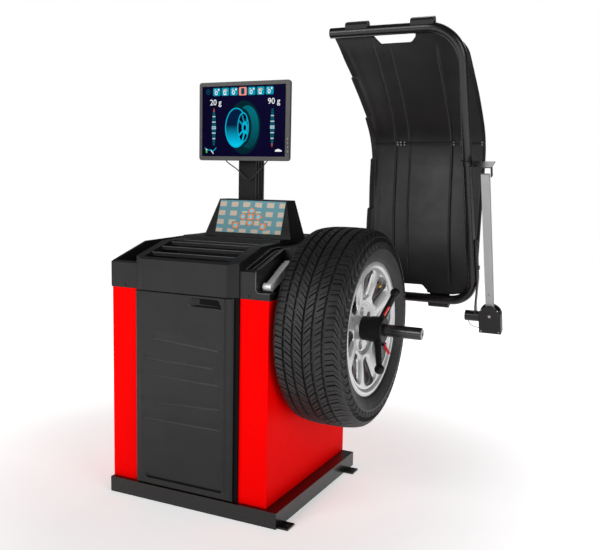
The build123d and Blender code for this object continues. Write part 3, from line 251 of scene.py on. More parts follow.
def fill(node, **values):
    """Sets a node's inputs by name, with an underscore for each space."""
    for key, value in values.items():
        node.inputs[key.replace("_", " ")].default_value = value


def add(tree, kind, vector=None, **values):
    """A new node with its inputs set, and its vector input fed from a socket."""
    node = tree.nodes.new("ShaderNode" + kind)
    fill(node, **values)
    if vector:
        tree.links.new(vector, node.inputs["Vector"])
    return node


def fresh(name):
    """A new material with its node tree and its shader."""
    mat = bpy.data.materials.new(name)
    mat.use_nodes = True
    return mat, mat.node_tree, mat.node_tree.nodes["Principled BSDF"]


def drifting(tree, noise, colour, vary):
    """A colour ramp to either side of colour, driven by a noise node."""
    ramp = add(tree, "ValToRGB")
    low, high = ramp.color_ramp.elements
    low.color = (*[c * (1 - vary) for c in colour], 1)
    high.color = (*[min(1, c * (1 + vary)) for c in colour], 1)
    tree.links.new(noise.outputs["Fac"], ramp.inputs["Fac"])
    return ramp


def surface(
    name, colour, rough, vary, vary_scale=9, metallic=0.0, specular=0.5, coat=0.0,
    grain=None, cells=None, brushed=None,
):
    """A procedural finish: its colour and roughness drift over the surface and its relief is fine grain,
    moulded cells or brushing. Scales are in features per metre. A colour given as one number is a grey."""
    if isinstance(colour, float):
        colour = (colour,) * 3
    mat, tree, shader = fresh(name)
    wire = tree.links.new
    fill(shader, Metallic=metallic, Specular_IOR_Level=specular, Coat_Weight=coat, Coat_Roughness=COAT_ROUGH)
    where = add(tree, "TexCoord").outputs["Object"]
    drift = add(tree, "TexNoise", where, Scale=vary_scale, Detail=5.0, Roughness=0.6)
    ramp = drifting(tree, drift, colour, vary)
    ramp.color_ramp.elements[0].position = 0.3
    ramp.color_ramp.elements[1].position = 0.72
    wire(ramp.outputs["Color"], shader.inputs["Base Color"])
    shine = add(tree, "MapRange", To_Min=max(0.02, rough - ROUGH_VARY), To_Max=min(1, rough + ROUGH_VARY))
    smudge = add(tree, "TexNoise", where, Scale=vary_scale * 3.1, Detail=4.0, Roughness=0.65)
    wire(smudge.outputs["Fac"], shine.inputs["Value"])
    wire(shine.outputs["Result"], shader.inputs["Roughness"])
    reliefs = []
    if grain:
        reliefs.append((add(tree, "TexNoise", where, Scale=grain[0]).outputs["Fac"], grain[1]))
    if cells:
        reliefs.append((add(tree, "TexVoronoi", where, Scale=cells[0]).outputs["Distance"], cells[1]))
    if brushed:
        stretched = add(tree, "Mapping", where, Scale=brushed[2]).outputs["Vector"]
        texture = add(tree, "TexNoise", stretched, Scale=brushed[0], Detail=3.0)
        reliefs.append((texture.outputs["Fac"], brushed[1]))
    normal = None
    for height, strength in reliefs:
        bump = add(tree, "Bump", Strength=strength, Distance=BUMP_DEPTH)
        wire(height, bump.inputs["Height"])
        if normal:
            wire(normal, bump.inputs["Normal"])
        normal = bump.outputs["Normal"]
    if normal:
        wire(normal, shader.inputs["Normal"])
    return mat


def glow(name, colour, vary=0.15, scale=60):
    """A lit part of the display."""
    mat, tree, shader = fresh(name)
    dim = (*[c * 0.02 for c in colour], 1)
    fill(shader, Base_Color=dim, Roughness=0.35, Specular_IOR_Level=0.01, Emission_Strength=1.0)
    drift = add(tree, "TexNoise", add(tree, "TexCoord").outputs["Object"], Scale=scale)
    ramp = drifting(tree, drift, colour, vary)
    tree.links.new(ramp.outputs["Color"], shader.inputs["Emission Color"])
    return mat


ALONG_X, ALONG_Z = (1, 40, 40), (30, 30, 1)
FINISHES = (
    ("black_paint", 0.004, 0.28, 0.3, dict(grain=(900, 0.08), specular=0.4, coat=0.15)),
    ("red_paint", (1.0, 0.0, 0.0), 0.5, 0.02, dict(vary_scale=4, grain=(420, 0.05), specular=0.02)),
    ("grey_paint", (0.26, 0.27, 0.28), 0.5, 0.15, dict(grain=(300, 0.3))),
    ("black_moulding", (0.011, 0.011, 0.0112), 0.4, 0.22,
     dict(cells=(750, 0.3), grain=(60, 0.12), specular=0.32)),
    ("grey_moulding", (0.1, 0.1, 0.105), 0.5, 0.2, dict(cells=(900, 0.3))),
    ("keypad_film", (0.12, 0.33, 0.39), 0.4, 0.06, dict(grain=(1500, 0.1), specular=0.3)),
    ("key_orange", (1.0, 0.25, 0.005), 0.4, 0.08, dict(grain=(1200, 0.1))),
    ("red_plastic", (0.9, 0.003, 0.003), 0.35, 0.05, dict(grain=(700, 0.1), coat=0.3)),
    ("screen_glass", (0.002, 0.002, 0.014), 0.16, 0.1, dict(grain=(2500, 0.02))),
    ("ground_steel", (0.36, 0.36, 0.37), 0.28, 0.15, dict(metallic=1.0, brushed=(60, 0.35, ALONG_X))),
    ("black_steel", (0.028, 0.028, 0.03), 0.24, 0.2,
     dict(metallic=0.5, brushed=(60, 0.3, ALONG_X), coat=0.5)),
    ("zinc_steel", (0.55, 0.55, 0.53), 0.35, 0.15, dict(metallic=1.0, grain=(800, 0.2))),
    ("spring_steel", (0.22, 0.22, 0.23), 0.35, 0.2, dict(metallic=1.0, grain=(600, 0.3))),
    ("cast_alloy", 0.8, 0.34, 0.12, dict(metallic=0.3, grain=(420, 0.45))),
    ("wheel_alloy", (0.58, 0.58, 0.59), 0.3, 0.04, dict(metallic=0.45, grain=(900, 0.03), coat=0.4)),
    ("motor_iron", (0.07, 0.08, 0.09), 0.55, 0.25, dict(grain=(250, 0.6))),
    ("tyre_rubber", (0.015, 0.015, 0.0155), 0.5, 0.3, dict(vary_scale=14, grain=(380, 0.3), specular=0.4)),
    ("black_rubber", 0.01, 0.5, 0.25, dict(grain=(900, 0.2))),
    ("board_green", (0.02, 0.12, 0.05), 0.45, 0.2, dict(grain=(500, 0.4))),
)
MATERIALS = {row[0]: surface(*row[:4], **row[4]) for row in FINISHES}
ARM_ALLOY = surface("arm_alloy", (0.4, 0.4, 0.405), 0.45, 0.08, metallic=0.4, brushed=(40, 0.3, ALONG_Z))
BEZEL_GREY = surface("bezel_grey", (0.052, 0.05, 0.047), 0.45, 0.15, cells=(900, 0.25))
BUTTON_GREY = surface("button_grey", (0.2, 0.2, 0.195), 0.4, 0.1, grain=(900, 0.2))
NUT_BLACK = surface("nut_black", 0.004, 0.5, 0.3, grain=(700, 0.2), specular=0.25)
DEEP_BLACK = surface("deep_black", 0.006, 0.45, 0.3, grain=(700, 0.2), specular=0.16)
CAP_YELLOW = surface("cap_yellow", (0.75, 0.42, 0.03), 0.35, 0.1, metallic=0.4, grain=(900, 0.2))

# ---- cords
CABLE_D, WIRE_D = 0.004, 0.0025


def smooth_line(name, route):
    """A smooth curve guided by a route of points."""
    curve = bpy.data.curves.new(name, "CURVE")
    curve.dimensions = "3D"
    spline = curve.splines.new("NURBS")
    spline.points.add(len(route) - 1)
    for point, spot in zip(spline.points, route):
        point.co = (*[c * MM for c in spot], 1)
    spline.order_u = 3
    spline.use_endpoint_u = True
    spline.resolution_u = 24
    return curve


def cord_piece(name, route, diameter, node):
    """A cord on one smooth line through its route, standing for its CAD tube."""
    curve = smooth_line(name, route)
    curve.bevel_depth = diameter / 2
    curve.bevel_resolution = 5
    curve.use_fill_caps = True
    curve.materials.append(MATERIALS["black_rubber"])
    piece = bpy.data.objects.new(name, curve)
    show(piece)
    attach(piece, BODY_OF[node])
    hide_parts(node)
    return piece


CABLE_ROUTE = [
    (-118, 71, 1169), (-118, 71, 1140), (-56, 74, 1106), (-16, 76, 1062),
    (24, 78, 1104), (62, 96, 1150), (52, 120, 1200), (11.5, 120, 1200),
]
WIRE_ROUTE = [hood(712, -50, GAUGE_F), hood(712, -78, GAUGE_F), hood(752, -78, GAUGE_F)]


def line_length(route):
    """The length of the smooth line that a route gives."""
    curve = smooth_line("measure", route)
    probe = bpy.data.objects.new("measure", curve)
    mesh = bpy.data.meshes.new_from_object(probe)
    spots = [v.co.copy() for v in mesh.vertices]
    bpy.data.objects.remove(probe)
    bpy.data.meshes.remove(mesh)
    bpy.data.curves.remove(curve)
    return sum((b - a).length for a, b in zip(spots, spots[1:]))


monitor_cable = cord_piece("monitor_lead", CABLE_ROUTE, CABLE_D, "monitor_cable")
line_length(CABLE_ROUTE)
gauge_cable = cord_piece("gauge_lead", WIRE_ROUTE, WIRE_D, "gauge_cable")
line_length(WIRE_ROUTE)

# ---- tyre
TYRE_SECTION = [
    (311.8, 204), (311.2, 206), (309.9, 213), (306.5, 221.2), (301, 226), (296.5, 235), (291.5, 247),
    (287.2, 260), (285.6, 272), (288, 285), (291.6, 296), (296.5, 306), (303.5, 314.5),
]
TYRE_INSIDE = [
    (472, 205.4), (482, 214), (494, 232), (503, 258), (501, 284), (493, 301), (476, 311), (442, 315),
]
TREAD_HALF = 98.5
CROWN_R, SHOULDER_DROP = 327.3, 10.5
PITCHES = 58
PITCH = 2 * pi / PITCHES
TREAD_DEPTH = 7.0
SWEEP, SWEEP_POWER, SWEEP_END, SHOULDER_SWEEP = 82, 0.75, 0.66, 16
RIDGE_AT, RIDGE_WIDTH, RIDGE_HEIGHT = (261, 302), 2.2, 1.2
RIB_LOW, RIB_HIGH, RIB_DEPTH = 266, 298, 2.6
CUT_FROM, CUT_OVER, LEAD_FROM, LEAD_OVER = 303, 8, 285, 33
RIB_STEPS = (0.035, 0.145, 0.33, 0.47, 0.7, 0.86)
COLUMN_STEPS = [0.0, 0.035, 0.145, 0.18, 0.33, 0.47, 0.495, 0.53, 0.555, 0.7, 0.86]
COLUMN_DEPTH = [0.0, 1.0, 1.0, 0.0, 0.0, 0.0, 0.55, 0.55, 0.0, 0.0, 0.0]


def smooth_path(points, per_span):
    """Catmull-Rom points through a polyline."""
    pts = [np.array(p, float) for p in points]
    pts = [2 * pts[0] - pts[1]] + pts + [2 * pts[-1] - pts[-2]]
    out = []
    for i in range(1, len(pts) - 2):
        p0, p1, p2, p3 = pts[i - 1 : i + 3]
        bend, twist = 2 * p0 - 5 * p1 + 4 * p2 - p3, 3 * p1 - p0 - 3 * p2 + p3
        for k in range(per_span):
            t = k / per_span
            out.append(0.5 * (2 * p1 + (p2 - p0) * t + bend * t**2 + twist * t**3))
    out.append(pts[-2])
    return out


def tread_rows():
    """Rows across the tread as (u, groove share): u runs from -1 to 1, dense beside the grooves."""
    rows = []
    for centre, half in ((0.0, 0.036), (0.33, 0.05), (0.66, 0.04)):
        low, high = centre - half, centre + half
        rows += [(low - 0.012, 0), (low + 0.008, 1), (high - 0.008, 1), (high + 0.012, 0)]
    rows = [row for row in rows if row[0] > 0]
    rows += [(u, 0) for u in (0.09, 0.15, 0.21, 0.25, 0.43, 0.49, 0.55, 0.59, 0.74, 0.8, 0.86, 0.92, 0.97)]
    rows.sort()
    return [(-u, g) for u, g in reversed(rows)] + [(0.0, 1)] + rows


def tread_sweep(u):
    """How far the slanted grooves lead round the tyre at u: a V that flattens to the shoulders."""
    a = min(1.0, abs(u))
    return SWEEP * min(a, SWEEP_END) ** SWEEP_POWER + SHOULDER_SWEEP * max(0.0, a - SWEEP_END)


def on_sidewall(x, r, step_at, deep):
    """A sidewall point's x and radius, with its ribs, its two ridges and the ends of the tread's cuts."""
    outward = 1 if x > WHEEL_MID else -1
    radius = r - TREAD_DEPTH * 0.8 * deep * clamp((r - CUT_FROM) / CUT_OVER)
    if RIB_LOW < r < RIB_HIGH and step_at in RIB_STEPS:
        x -= RIB_DEPTH * outward
    ridges = sum(np.exp(-(((r - at) / RIDGE_WIDTH) ** 2)) for at in RIDGE_AT)
    return x + RIDGE_HEIGHT * outward * ridges, radius


def on_tread(x, r, u, groove, deep):
    """A tread point's x and radius, cut by the grooves round the tyre and the slanted ones."""
    slanted = deep if abs(u) > 0.075 else 0.0
    if 0.36 < abs(u) < 0.61 and deep < 1:
        slanted = 0 if deep == 0 else 0.5
    return x, r - TREAD_DEPTH * max(slanted, groove)


def build_tyre():
    """The tyre as one closed skin: sidewalls, grooved tread and inside."""
    side = [tuple(p) for p in smooth_path(TYRE_SECTION, 6)]
    rows = [(x, r, None, 0) for x, r in side]
    for u, groove in tread_rows():
        x = WHEEL_MID + u * (TREAD_HALF - 1.5)
        rows.append((x, CROWN_R - SHOULDER_DROP * abs(u) ** 3.2, u, groove))
    rows += [(2 * WHEEL_MID - x, r, None, 0) for x, r in reversed(side)]
    points = []
    for x, r, u, groove in rows:
        lead = tread_sweep((x - WHEEL_MID) / TREAD_HALF) / CROWN_R
        if u is None:
            lead *= clamp((r - LEAD_FROM) / LEAD_OVER)
        for k in range(PITCHES):
            for step_at, deep in zip(COLUMN_STEPS, COLUMN_DEPTH):
                cut = on_sidewall(x, r, step_at, deep) if u is None else on_tread(x, r, u, groove, deep)
                points.append(about_spindle(*cut, k * PITCH + step_at * PITCH + lead))
    inner = TYRE_INSIDE + [(2 * WHEEL_MID - x, r) for x, r in reversed(TYRE_INSIDE)]
    for x, r in inner:
        for k in range(PITCHES):
            for step_at in COLUMN_STEPS:
                points.append(about_spindle(x, r, (k + step_at) * PITCH))
    faces = grid(PITCHES * len(COLUMN_STEPS), len(rows) + len(inner), True, True)
    mesh = smooth(made("tyre_tread", points, faces), 38)
    link("tyre_tread", mesh, "spindle", "tyre_rubber", ("tyre",))


build_tyre()

# ---- rim
SPOKES = 8
OPENING_MID = radians(40)
RIM_OUTER = [
    (300, 206), (299.5, 213), (300, 218.5), (302, 220.5), (305, 220.5), (307.2, 217), (309, 211), (311, 203),
    (333, 204), (337, 206), (346, 196), (362, 183), (442, 183), (458, 196), (467, 206), (471, 204),
    (493, 203), (493.5, 211), (494.5, 217), (496, 220.5), (498.5, 220.5), (500, 218.5), (500.5, 213),
]
RIM_INNER = [
    (500, 208), (499, 205), (496.5, 202), (494.5, 198.5), (490, 196.8), (472, 197), (456, 189), (440, 177),
    (364, 177), (348, 189), (337, 198), (312, 196.5), (305, 199),
]
link("rim_barrel", lathe("rim_barrel", RIM_OUTER + RIM_INNER, 160), "spindle", "wheel_alloy", ("wheel_rim",))
FACE_KNOTS = [
    (33, 466), (76, 466), (82, 472.5), (90, 474), (120, 480.5), (150, 486.5), (180, 491.5), (197.5, 493.5),
]
BACK_KNOTS = [(33, 442), (84, 442), (96, 451), (130, 460), (165, 470), (197.5, 477)]
OPEN_R0, OPEN_R1 = 100, 191


def opening_half(radius):
    """Half the width of an opening at radius, in millimetres: a teardrop, widest near the rim."""
    if radius <= OPEN_R0 or radius >= OPEN_R1:
        return 0.0
    t = (radius - OPEN_R0) / (OPEN_R1 - OPEN_R0)
    start = 1 - (1 - min(1.0, t / 0.14)) ** 2
    return (13.0 * sqrt(start) + 29.0 * t) * sqrt(max(0.0, 1 - t**16))


SPOKE_CROWN = 10.0
OPEN_STEPS, SPOKE_STEPS = 8, 10
RING = OPEN_STEPS + SPOKE_STEPS + 1
SWELL_FROM, SWELL_OVER, SWELL_END, SWELL_FADE = 92, 20, 190, 14
LIP_LOW, LIP_HIGH, LIP_DEPTH = 80, 84, 2.2


def build_disc():
    """The wheel's face as a front and a back layer: spokes between teardrop openings."""
    radii = [76, 79, 81, 83, 85, 89, 94, 98, 100, 100.5, 101.5, 103, 105, 108, 112, 118, 124, 131, 138]
    radii += [146, 154, 161, 168, 174, 179, 183, 186, 188, 189.6, 190.6, 191, 193, 197.5]
    share = np.concatenate([np.linspace(0, 1, OPEN_STEPS + 1), 1 + np.linspace(0, 1, SPOKE_STEPS + 1)[1:]])
    sector = 2 * pi / SPOKES
    columns = SPOKES * 2 * RING
    front, back = [], []
    for radius in radii:
        half_angle = max(opening_half(radius) / radius, 0.004)
        spoke_half = sector / 2 - half_angle
        ring = [t * half_angle if t <= 1 else half_angle + (t - 1) * spoke_half for t in share]
        swell = clamp((radius - SWELL_FROM) / SWELL_OVER) * clamp((SWELL_END - radius) / SWELL_FADE)
        for k in range(SPOKES):
            for a in [-a for a in reversed(ring)] + ring:
                inside = abs(a) <= half_angle + 1e-6
                edge = 0 if inside else min(1.0, (abs(a) - half_angle) / max(1e-6, spoke_half))
                crown = SPOKE_CROWN * sqrt(1 - (1 - edge) ** 2)
                x = reading(FACE_KNOTS, radius) - (SPOKE_CROWN - crown) * swell
                if LIP_LOW < radius < LIP_HIGH:
                    x -= LIP_DEPTH
                turn_at = OPENING_MID + k * sector + a
                front.append(about_spindle(x, radius, turn_at))
                back.append(about_spindle(reading(BACK_KNOTS, radius), radius, turn_at))
    count = len(front)
    faces = []
    for index, quad in enumerate(grid(columns, len(radii), wrap=True)):
        row, column = divmod(index, columns)
        across = RING - 1 - OPEN_STEPS <= column % (2 * RING) < RING + OPEN_STEPS
        if across and OPEN_R0 <= radii[row] and radii[row + 1] <= OPEN_R1:
            continue
        faces.append(quad)
        faces.append(tuple(count + i for i in reversed(quad)))
    bm = bmesh.new()
    mesh = made("wheel_face", front + back, faces)
    bm.from_mesh(mesh)
    bmesh.ops.remove_doubles(bm, verts=bm.verts, dist=0.00002)
    bm.to_mesh(mesh)
    bm.free()
    bevel(link("wheel_face", smooth(mesh, 50), "spindle", "wheel_alloy"), 1.6, angle=50)


build_disc()
HUB_STEPS, HUB_FACE, HUB_BACK = 240, 466, 442
BOLTS, BOLT_R, BOLT_START = 5, 56, radians(-16)
SEAT_R, SEAT_FLAT_R, SEAT_DEPTH, HOLE_R, HOLE_DEPTH = 17, 14, 15.0, 7.5, 22.0


def seat_depth(y, z):
    """How deep the bolt seats cut into the hub at (y, z) from the spindle line."""
    depth = 0.0
    for k in range(BOLTS):
        b = BOLT_START + 2 * pi * k / BOLTS
        d = sqrt((y - BOLT_R * sin(b)) ** 2 + (z - BOLT_R * cos(b)) ** 2)
        if d < SEAT_R:
            depth = SEAT_DEPTH if d < SEAT_FLAT_R else SEAT_DEPTH * (SEAT_R - d) / (SEAT_R - SEAT_FLAT_R)
        if d < HOLE_R:
            depth = HOLE_DEPTH
    return depth


def build_hub():
    """The wheel's middle: a recessed ring with five bolt seats, each a stepped hole."""
    radii = [33, 35, 37, 38.5, 40, 42, 44, 46.5, 49, 52, 56, 60, 63, 65.5, 68, 70, 71.5, 73, 74.5, 76]
    front, back = [], []
    for radius in radii:
        for i in range(HUB_STEPS):
            a = 2 * pi * i / HUB_STEPS
            front.append(about_spindle(HUB_FACE - seat_depth(radius * sin(a), radius * cos(a)), radius, a))
            back.append(about_spindle(HUB_BACK, radius, a))
    count = len(front)
    faces = []
    for quad in grid(HUB_STEPS, len(radii), wrap=True):
        faces.append(quad)
        faces.append(tuple(count + i for i in reversed(quad)))
    for base in (0, (len(radii) - 1) * HUB_STEPS):
        for i in range(HUB_STEPS):
            j = (i + 1) % HUB_STEPS
            faces.append((base + i, base + j, count + base + j, count + base + i))
    mesh = smooth(made("wheel_centre", front + back, faces), 40)
    link("wheel_centre", mesh, "spindle", "wheel_alloy")


build_hub()
CAP_DIRECTION = Vector((0.6334, -0.7738 * sin(OPENING_MID), -0.7738 * cos(OPENING_MID)))
CAP_FOOT = Vector(about_spindle(459.5, 191.7, OPENING_MID)) + CAP_DIRECTION * 24


def along_valve(a, b, out):
    """A point about the valve's line, out millimetres along it from the cap's foot."""
    side = CAP_DIRECTION.orthogonal().normalized()
    other = CAP_DIRECTION.cross(side)
    return CAP_FOOT + side * a + other * b + CAP_DIRECTION * out


cap = prism(disc(4.6, 20), along_valve, 0, 12.5)
bevel(built("valve_cap", [cap], "spindle", "wheel_alloy", CAP_YELLOW), 0.8)

# ---- guard shells
PROFILE = [
    (6, 6), (120, 58), (250, 118), (380, 182), (455, 219), (515, 236),
    (585, 228), (700, 176), (800, 115), (890, 56), (956, 4),
]
FINE_PROFILE = smooth_path(PROFILE, 12)
SHELL_COLUMNS, SHELL_ROWS, SHELL_THICK = 200, 90, 3.0
SHELL_FOOT, SHELL_TOP = 17, 957
CORNER_R, LOW_CORNER, HIGH_CORNER = 88, (96, 79), (868, 89)
FOOT_GAP, TOP_GAP = (418, 548, 25), (428, 572, 31)
CREASES = ((392, 2.6, 4.2), (446, 2.2, 2.4), (606, 2.8, 5.0))


def shell_back(s):
    """How far the shell lies behind the guard's tube at height s."""
    return reading(FINE_PROFILE, s)


def shell_left(s):
    """The scalloped left edge: long curves that each end in a small step."""
    return SHELL_L + 1 + 7 * (1 - ((s + 38) / 168) % 1) ** 2


def shell_right(s):
    """The right edge, rounded into the corners beside the tube's bends."""
    top = min(1.0, max(0.0, s - HIGH_CORNER[0]) / HIGH_CORNER[1])
    low = min(1.0, max(0.0, LOW_CORNER[0] - s) / LOW_CORNER[1])
    return SHELL_R - 1.5 - CORNER_R * (1 - sqrt(1 - top**2)) - CORNER_R * (1 - sqrt(1 - low**2))


def hand_gap(x, low, high, depth):
    """How deep the hand gap cuts in from the edge at x."""
    return depth * step(x, low, low + 12) * (1 - step(x, high - 12, high))


def build_shell(name, low, high, node):
    """One of the guard's two sheets, between two heights, with its creases, waves and hand gap."""
    points = []
    for j in range(SHELL_ROWS):
        b = j / (SHELL_ROWS - 1)
        for i in range(SHELL_COLUMNS):
            s = low + b * (high - low)
            left, right = shell_left(s), shell_right(s)
            x = left + i / (SHELL_COLUMNS - 1) * (right - left)
            foot = low + hand_gap(x, *FOOT_GAP) if low == SHELL_FOOT else low
            top = high - hand_gap(x, *TOP_GAP) if high == SHELL_TOP else high
            s = foot + b * (top - foot)
            crease = 0.0
            for at, size, deep in CREASES:
                crease += deep * np.exp(-(((x - at - 0.00012 * (s - 500) ** 2) / size) ** 2))
            billow = 6.0 * sin((x - SHELL_L) / (SHELL_R - SHELL_L) * pi * 3) + 1.5 * sin(s / 70.0)
            billow += 5.0 * np.exp(-(((x - 322) / 16) ** 2))
            edge_roll = 9.0 * (1 - step(x, left, left + 22)) + 7.0 * step(x, right - 14, right)
            fade = step(s, 20, 120) * (1 - step(s, 860, 950))
            back = shell_back(s) + crease * fade - billow * fade * 0.6 - edge_roll * fade
            points.append(tuple(hood(x, s, -back)))
    mesh = made(name, points, grid(SHELL_COLUMNS, SHELL_ROWS))
    piece = link(name, smooth(mesh, 60), "guard", "black_moulding", (node,))
    thick = piece.modifiers.new("sheet", "SOLIDIFY")
    thick.thickness = SHELL_THICK * MM
    thick.offset = 0
    bevel(piece, 0.9, angle=60)


build_shell("guard_shell_low", SHELL_FOOT, SEAM_S - 0.5, "hood_shell_lower")
build_shell("guard_shell_high", SEAM_S + 0.5, SHELL_TOP, "hood_shell_upper")


def on_seam(x, front, s):
    """A point at the shells' join, front millimetres before the sheet."""
    return hood(x, s, -shell_back(SEAM_S) + front)


def seam_details():
    """The bolted flange across the shells' join, with its screws."""
    parts = []
    left, right = shell_left(SEAM_S) + 3, shell_right(SEAM_S) - 4
    for low, high in ((SEAM_S - 3.4, SEAM_S - 0.6), (SEAM_S + 0.6, SEAM_S + 3.4)):
        outline = [(left, 9), (right, 9), (right, -3), (left, -3)]
        parts.append(prism(outline, on_seam, low, high))
    bevel(built("seam_flange", parts, "guard", "black_moulding"), 0.6)
    screws = []
    for x in (298, 306, 398, 410, 424, 612, 640, 716, 724):
        screws.append(prism(disc(3.2, 16, (x, 4)), on_seam, SEAM_S - 6.5, SEAM_S + 6.5))
    bevel(built("seam_screws", screws, "guard", "zinc_steel"), 0.5)


seam_details()

GAUGE_FACE = 61
gauge_screws = []
for x, s in ((-29, 4), (29, 4), (-31, -82), (31, -82)):
    gauge_screws.append(prism(disc(2.4, 16, (GAUGE_X + x, s)), hood, GAUGE_FACE - 0.4, GAUGE_FACE + 0.9))
bevel(built("gauge_screws", gauge_screws, "guard", "zinc_steel"), 0.4)

# ---- softened CAD bodies
for node, *rounding in (
    ("base_frame", 2.0), ("cabinet_shell", 1.2), ("rear_panel", 0.6), ("tray", 2.0, 3, None, 17),
    ("keypad_housing", 3.0, 3, DEEP_BLACK), ("monitor_column", 2.2, 2, DEEP_BLACK), ("monitor_bracket", 1.0),
    ("monitor_back", 3.0, 3), ("monitor_bezel", 3.0, 4, BEZEL_GREY), ("screen_panel", 0.3),
    ("support_bracket", 1.0), ("drive_motor", 1.5), ("gauge_housing", 3.0, 3), ("gauge_mount", 1.2),
    ("gauge_arm", 1.0, 2, ARM_ALLOY), ("parking_bracket", 0.6), ("hood_clamps", 4.0, 3),
    ("hood_bearing_block", 1.5), ("distance_handle", 3.5, 4), ("power_inlet", 0.8), ("power_switch", 0.8),
    ("power_board", 0.6), ("panel_screws", 0.6), ("wheel_flange", 1.5), ("spindle_pulley", 0.8),
    ("bearing_housing", 1.5), ("quick_nut", 2.0, 3, NUT_BLACK), ("pressure_cup", 2.0, 3, NUT_BLACK),
    ("release_trigger_a", 0.8), ("release_trigger_b", 0.8),
    *[(f"monitor_button_{n}", 0.6, 2, BUTTON_GREY) for n in range(1, 5)],
):
    soften(node, *rounding)
for node in nodes:
    if not nodes[node].hide_render:
        for held in nodes[node].material_slots:
            held.material = MATERIALS[SLOT_OF[node]]

# ---- front cover
COVER_L, COVER_R, COVER_SHADE_R = -213, 160, 175
COVER_LOW, COVER_HIGH = 55, 709
COVER_RIM, COVER_BACK = -315, -299.2
PANEL_RISE, LEDGE_DEPTH, SLOT_DEPTH, RECESS_DEPTH, SCUFF_DEPTH = 4.2, 2.6, 8.0, 12.0, 0.9
RECESS_LOW, RECESS_LEAN = 672, 0.55
RIB_LINES = [
    ((-141, 555), (115, 538)), ((-176, 486), (96, 480)), ((-185, 432), (120, 428)),
    ((-181, 339), (121, 351)), ((-181, 283), (122, 284)),
]
SCUFFS = ((-100, 590, 680), (-38, 570, 690), (78, 545, 620))


def cover_depth(x, z):
    """How far the cover's face stands forward of its rim at (x, z)."""
    depth = PANEL_RISE * (step(x, -198, -192) * (1 - step(x, 128, 138)) * step(z, 76, 84))
    for (x0, z0), (x1, z1) in RIB_LINES:
        t = (x - x0) / (x1 - x0)
        if -0.05 < t < 1.05:
            above = z - (z0 + (z1 - z0) * t)
            ends = step(t, -0.02, 0.03) * (1 - step(t, 0.97, 1.02))
            depth -= LEDGE_DEPTH * ends * (step(above, -2, 0.6) * (1 - step(above, 1.0, 26)))
    slot_x = step(x, -174, -166) * (1 - step(x, 116, 124))
    depth -= SLOT_DEPTH * slot_x * step(z, 77, 79) * (1 - step(z, 92, 94))
    recess_right = 118 - RECESS_LEAN * (z - RECESS_LOW)
    recess = step(x, -10, 42) * (1 - step(x, recess_right, recess_right + 3)) * step(z, RECESS_LOW, 676)
    depth -= RECESS_DEPTH * recess * (1 - step(z, 696, 700))
    for at, low, high in SCUFFS:
        along = (z - low) / (high - low)
        if 0 < along < 1:
            depth -= SCUFF_DEPTH * sin(pi * along) * max(0.0, 1 - abs(x - (at + 14 * along)) / 2.2)
    return depth


def spread(low, high, coarse, marks, fine=1.2, reach=6):
    """Levels from low to high, closer together beside the marks."""
    levels = set(np.arange(low, high, coarse)) | {high}
    for mark in marks:
        levels |= set(np.arange(mark - reach, mark + reach, fine))
    return sorted(v for v in levels if low <= v <= high)


def build_cover():
    xs = spread(COVER_L, COVER_R, 5, [-196, 133, -170, 124, 27, 128])
    zs = spread(COVER_LOW, COVER_HIGH, 2.6, [80, 674, 679, 701, 92], 1.0, 5)
    points = []
    for z in zs:
        for x in xs:
            inset_x = min(x - COVER_L, COVER_R - x)
            inset_z = min(z - COVER_LOW, COVER_HIGH - z)
            roll = 3.5 * (1 - step(min(inset_x, inset_z), 0, 5))
            points.append((x, COVER_RIM - cover_depth(x, z) + roll, z))
    columns, rows = len(xs), len(zs)
    faces = grid(columns, rows)
    border = list(range(columns)) + [r * columns + columns - 1 for r in range(1, rows)]
    border += [(rows - 1) * columns + c for c in range(columns - 2, -1, -1)]
    border += [r * columns for r in range(rows - 2, 0, -1)]
    base = len(points)
    points += [(points[i][0], COVER_BACK, points[i][2]) for i in border]
    count = len(border)
    for i in range(count):
        j = (i + 1) % count
        faces.append((border[i], base + i, base + j, border[j]))
    faces.append(tuple(base + i for i in range(count)))
    mesh = smooth(made("cover_face", points, faces), 48)
    link("cover_face", mesh, "cabinet", "black_moulding", ("front_cover",))


build_cover()
# a near-black used to paint shade
SHADE_BLACK = surface("painted_shade_black", 0.002, 0.6, 0.3, grain=(500, 0.2), specular=0.1)


def upright_strip(name, sides, low, high, mat):
    """An upright strip between its left, right, front and back sides."""
    left, right, front, back = sides
    outline = [(left, front), (right, front), (right, back), (left, back)]
    slab = prism(outline, lambda x, y, z: (x, y, z), low, high)
    return built(name, [slab], "cabinet", "black_moulding", mat)


# a very dark strip right of the cover: painted shade where the cover's side face lies in shadow
upright_strip("cover_side_shade", (COVER_R + 0.5, COVER_SHADE_R, -306, -299.5), COVER_LOW, COVER_HIGH, SHADE_BLACK)
# a near-black plate in the finger recess: painted shade
shade_outline = [(10, 697), (110, 697), (124, 677.5), (34, 680)]
finger_shade = prism(shade_outline, lambda x, z, y: (x, y, z), -308.2, -307)
built("finger_shade", [finger_shade], "cabinet", "black_moulding", SHADE_BLACK)
COLUMN_SIDE = 5.5
# ribs on the column's right side in a lighter grey that paints the highlights along its grooves
RIB_HIGHLIGHT_GREY = surface("rib_highlight_grey", (0.1, 0.1, 0.102), 0.4, 0.2, grain=(900, 0.2))
for index, (front, back) in enumerate(((90, 93), (108, 111), (129, 131), (144, 150))):
    sides = (COLUMN_SIDE - 0.2, COLUMN_SIDE + 0.7, front, back)
    upright_strip(f"column_rib_{index}", sides, 884, 1160, RIB_HIGHLIGHT_GREY)

# ---- painted highlights along the tray's edges
# a light grey that paints the highlights along the tray's edges
HIGHLIGHT_GREY = surface("painted_highlight_grey", (0.15, 0.15, 0.153), 0.35, 0.25, grain=(900, 0.2))


